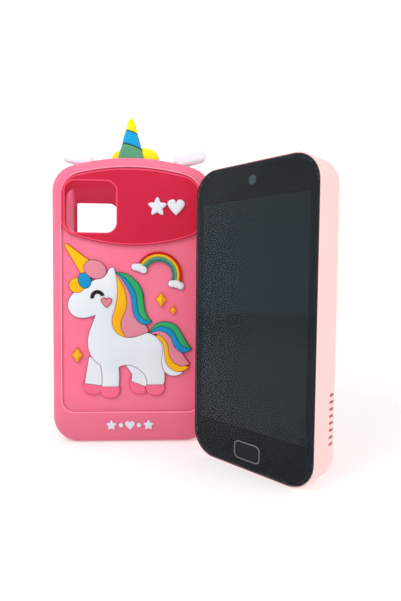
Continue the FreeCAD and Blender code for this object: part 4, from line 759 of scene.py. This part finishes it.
horn_band("horn_base", "horn_green_band", "silicone_sage", 0)
horn_band("horn_waist", "horn_blue_band", "silicone_sky", 1)
horn_band("horn_tip", "horn_yellow_tip", "silicone_lemon", 2)
horn_seam("horn_lower_seam", HORN_SEAMS[1])
horn_seam("horn_upper_seam", HORN_SEAMS[2])


# ---------------------------------------------------------------- front camera's ring

RING_AROUND, RING_SIDES = 48, 8
RING_RADIUS, RING_HALF_WIDTH, RING_HALF_DEPTH = 1.5, 0.22, 0.12
RING_AHEAD = 1.22


def camera_ring():
    """A thin bright ring round the front camera, just behind the glass."""
    low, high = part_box("front_camera")
    ahead = Vector((-math.sin(phone_turn), -math.cos(phone_turn), 0))
    across = Vector((math.cos(phone_turn), -math.sin(phone_turn), 0))
    centre = (low + high) / 2 / MM + RING_AHEAD * ahead
    verts = []
    for i in range(RING_AROUND):
        turn = 2 * math.pi * i / RING_AROUND
        out = math.cos(turn) * across + math.sin(turn) * Vector((0, 0, 1))
        for k in range(RING_SIDES):
            lean = 2 * math.pi * k / RING_SIDES
            reach_out = RING_RADIUS + RING_HALF_WIDTH * math.cos(lean)
            verts.append(centre + reach_out * out + RING_HALF_DEPTH * math.sin(lean) * ahead)
    faces = tube_faces(RING_AROUND, RING_SIDES)
    ring = new_mesh("front_camera_ring", verts, faces, [FINISHES["ring_metal"]])
    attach(ring, "phone")


camera_ring()


# ---------------------------------------------------------------- light, floor and camera

KEY_PLACE, KEY_TARGET = (-0.2, -0.16, 0.26), (-0.07, 0.02, 0.1)
KEY_SIZE, KEY_POWER, KEY_COLOUR = 0.16, 0.44, (1, 0.985, 0.975)
SEEN_STRENGTH, LIGHTING_STRENGTH = 1.3, 0.64
COOL, WARM = (0.95, 0.985, 1, 1), (1.0, 0.965, 0.93, 1)
COOL_HEIGHT, WARM_HEIGHT = 0.02, 0.3
FLOOR_LEFT, FLOOR_REACH = -0.76, 3.0
FLOOR_LEVEL = -0.02
CAMERA_PLACE = (-0.0320, -0.1710, 0.0751)
CAMERA_AHEAD = (0.0499, 0.9988)
CAMERA_PITCH, CAMERA_ROLL = math.radians(3.005), math.radians(0.56)
LENS, SENSOR = 26.38, 36


def light(name, kind, towards, energy, place=(0, 0, 0), **settings):
    """A light of that kind, which shines in that direction."""
    data = bpy.data.lights.new(name, kind)
    data.energy = energy
    for setting, amount in settings.items():
        setattr(data, setting, amount)
    lamp = bpy.data.objects.new(name, data)
    lamp.location = place
    lamp.rotation_mode = "QUATERNION"
    lamp.rotation_quaternion = Vector(towards).to_track_quat("-Z", "Y")
    bpy.context.scene.collection.objects.link(lamp)
    return lamp


def studio():
    """A pale room, cool below and warm above, which lights matt surfaces less than it shows."""
    world = bpy.data.worlds.new("studio")
    bpy.context.scene.world = world
    world.use_nodes = True
    sky = world.node_tree.nodes
    background = sky["Background"]
    height = sky.new("ShaderNodeSeparateXYZ")
    ramp = sky.new("ShaderNodeMapRange")
    ramp.inputs["From Min"].default_value = COOL_HEIGHT
    ramp.inputs["From Max"].default_value = WARM_HEIGHT
    cool_to_warm = sky.new("ShaderNodeMix")
    cool_to_warm.data_type = "RGBA"
    cool_to_warm.inputs[6].default_value = COOL
    cool_to_warm.inputs[7].default_value = WARM
    paths = sky.new("ShaderNodeLightPath")
    strength = sky.new("ShaderNodeMapRange")
    strength.inputs["To Min"].default_value = SEEN_STRENGTH
    strength.inputs["To Max"].default_value = LIGHTING_STRENGTH
    for start, end in (
        (sky.new("ShaderNodeTexCoord").outputs["Generated"], height.inputs[0]),
        (height.outputs["Z"], ramp.inputs["Value"]),
        (ramp.outputs[0], cool_to_warm.inputs[0]),
        (cool_to_warm.outputs[2], background.inputs["Color"]),
        (paths.outputs["Is Diffuse Ray"], strength.inputs["Value"]),
        (strength.outputs[0], background.inputs["Strength"]),
    ):
        world.node_tree.links.new(start, end)


def pale_floor():
    """A wide sheet just under the object, which stops sooner on the left."""
    paint = Recipe("pale_floor", Specular_IOR_Level=0.2, Emission_Color=(1, 1, 1, 1), Emission_Strength=0.26)
    paint.colour(paint.mix(paint.noise(9, 3), (0.88, 0.88, 0.885, 1), (0.85, 0.85, 0.86, 1)))
    paint.rough(paint.noise(30), 0.75, 0.85)
    left, right, near, far = FLOOR_LEFT / MM, FLOOR_REACH / MM, -FLOOR_REACH / MM, FLOOR_REACH / MM
    corners = [(x, y, FLOOR_LEVEL) for x, y in ((left, near), (right, near), (right, far), (left, far))]
    new_mesh("floor", corners, [[0, 1, 2, 3]], [paint.material])


def main_camera():
    """The camera of the front view."""
    data = bpy.data.cameras.new("camera")
    data.lens = LENS
    data.sensor_width = SENSOR
    data.clip_start = 0.01
    camera = bpy.data.objects.new("camera", data)
    bpy.context.scene.collection.objects.link(camera)
    bpy.context.scene.camera = camera
    level = math.cos(CAMERA_PITCH)
    ahead = Vector((CAMERA_AHEAD[0] * level, CAMERA_AHEAD[1] * level, -math.sin(CAMERA_PITCH)))
    camera.location = CAMERA_PLACE
    camera.rotation_mode = "QUATERNION"
    camera.rotation_quaternion = ahead.to_track_quat("-Z", "Y") @ Quaternion((0, 0, 1), CAMERA_ROLL)


key_way = Vector(KEY_TARGET) - Vector(KEY_PLACE)
key_light = light("key_light", "AREA", key_way, KEY_POWER, KEY_PLACE, size=KEY_SIZE, color=KEY_COLOUR)
key_light.visible_glossy = False
light("fill_light", "SUN", (0.62, 0.75, -0.72), 0.35, angle=math.radians(60))
light("side_light", "SUN", (-0.9, 0.45, -0.35), 1.08, angle=math.radians(50))
studio()
pale_floor()
main_camera()
bpy.context.scene.view_settings.view_transform = "Standard"
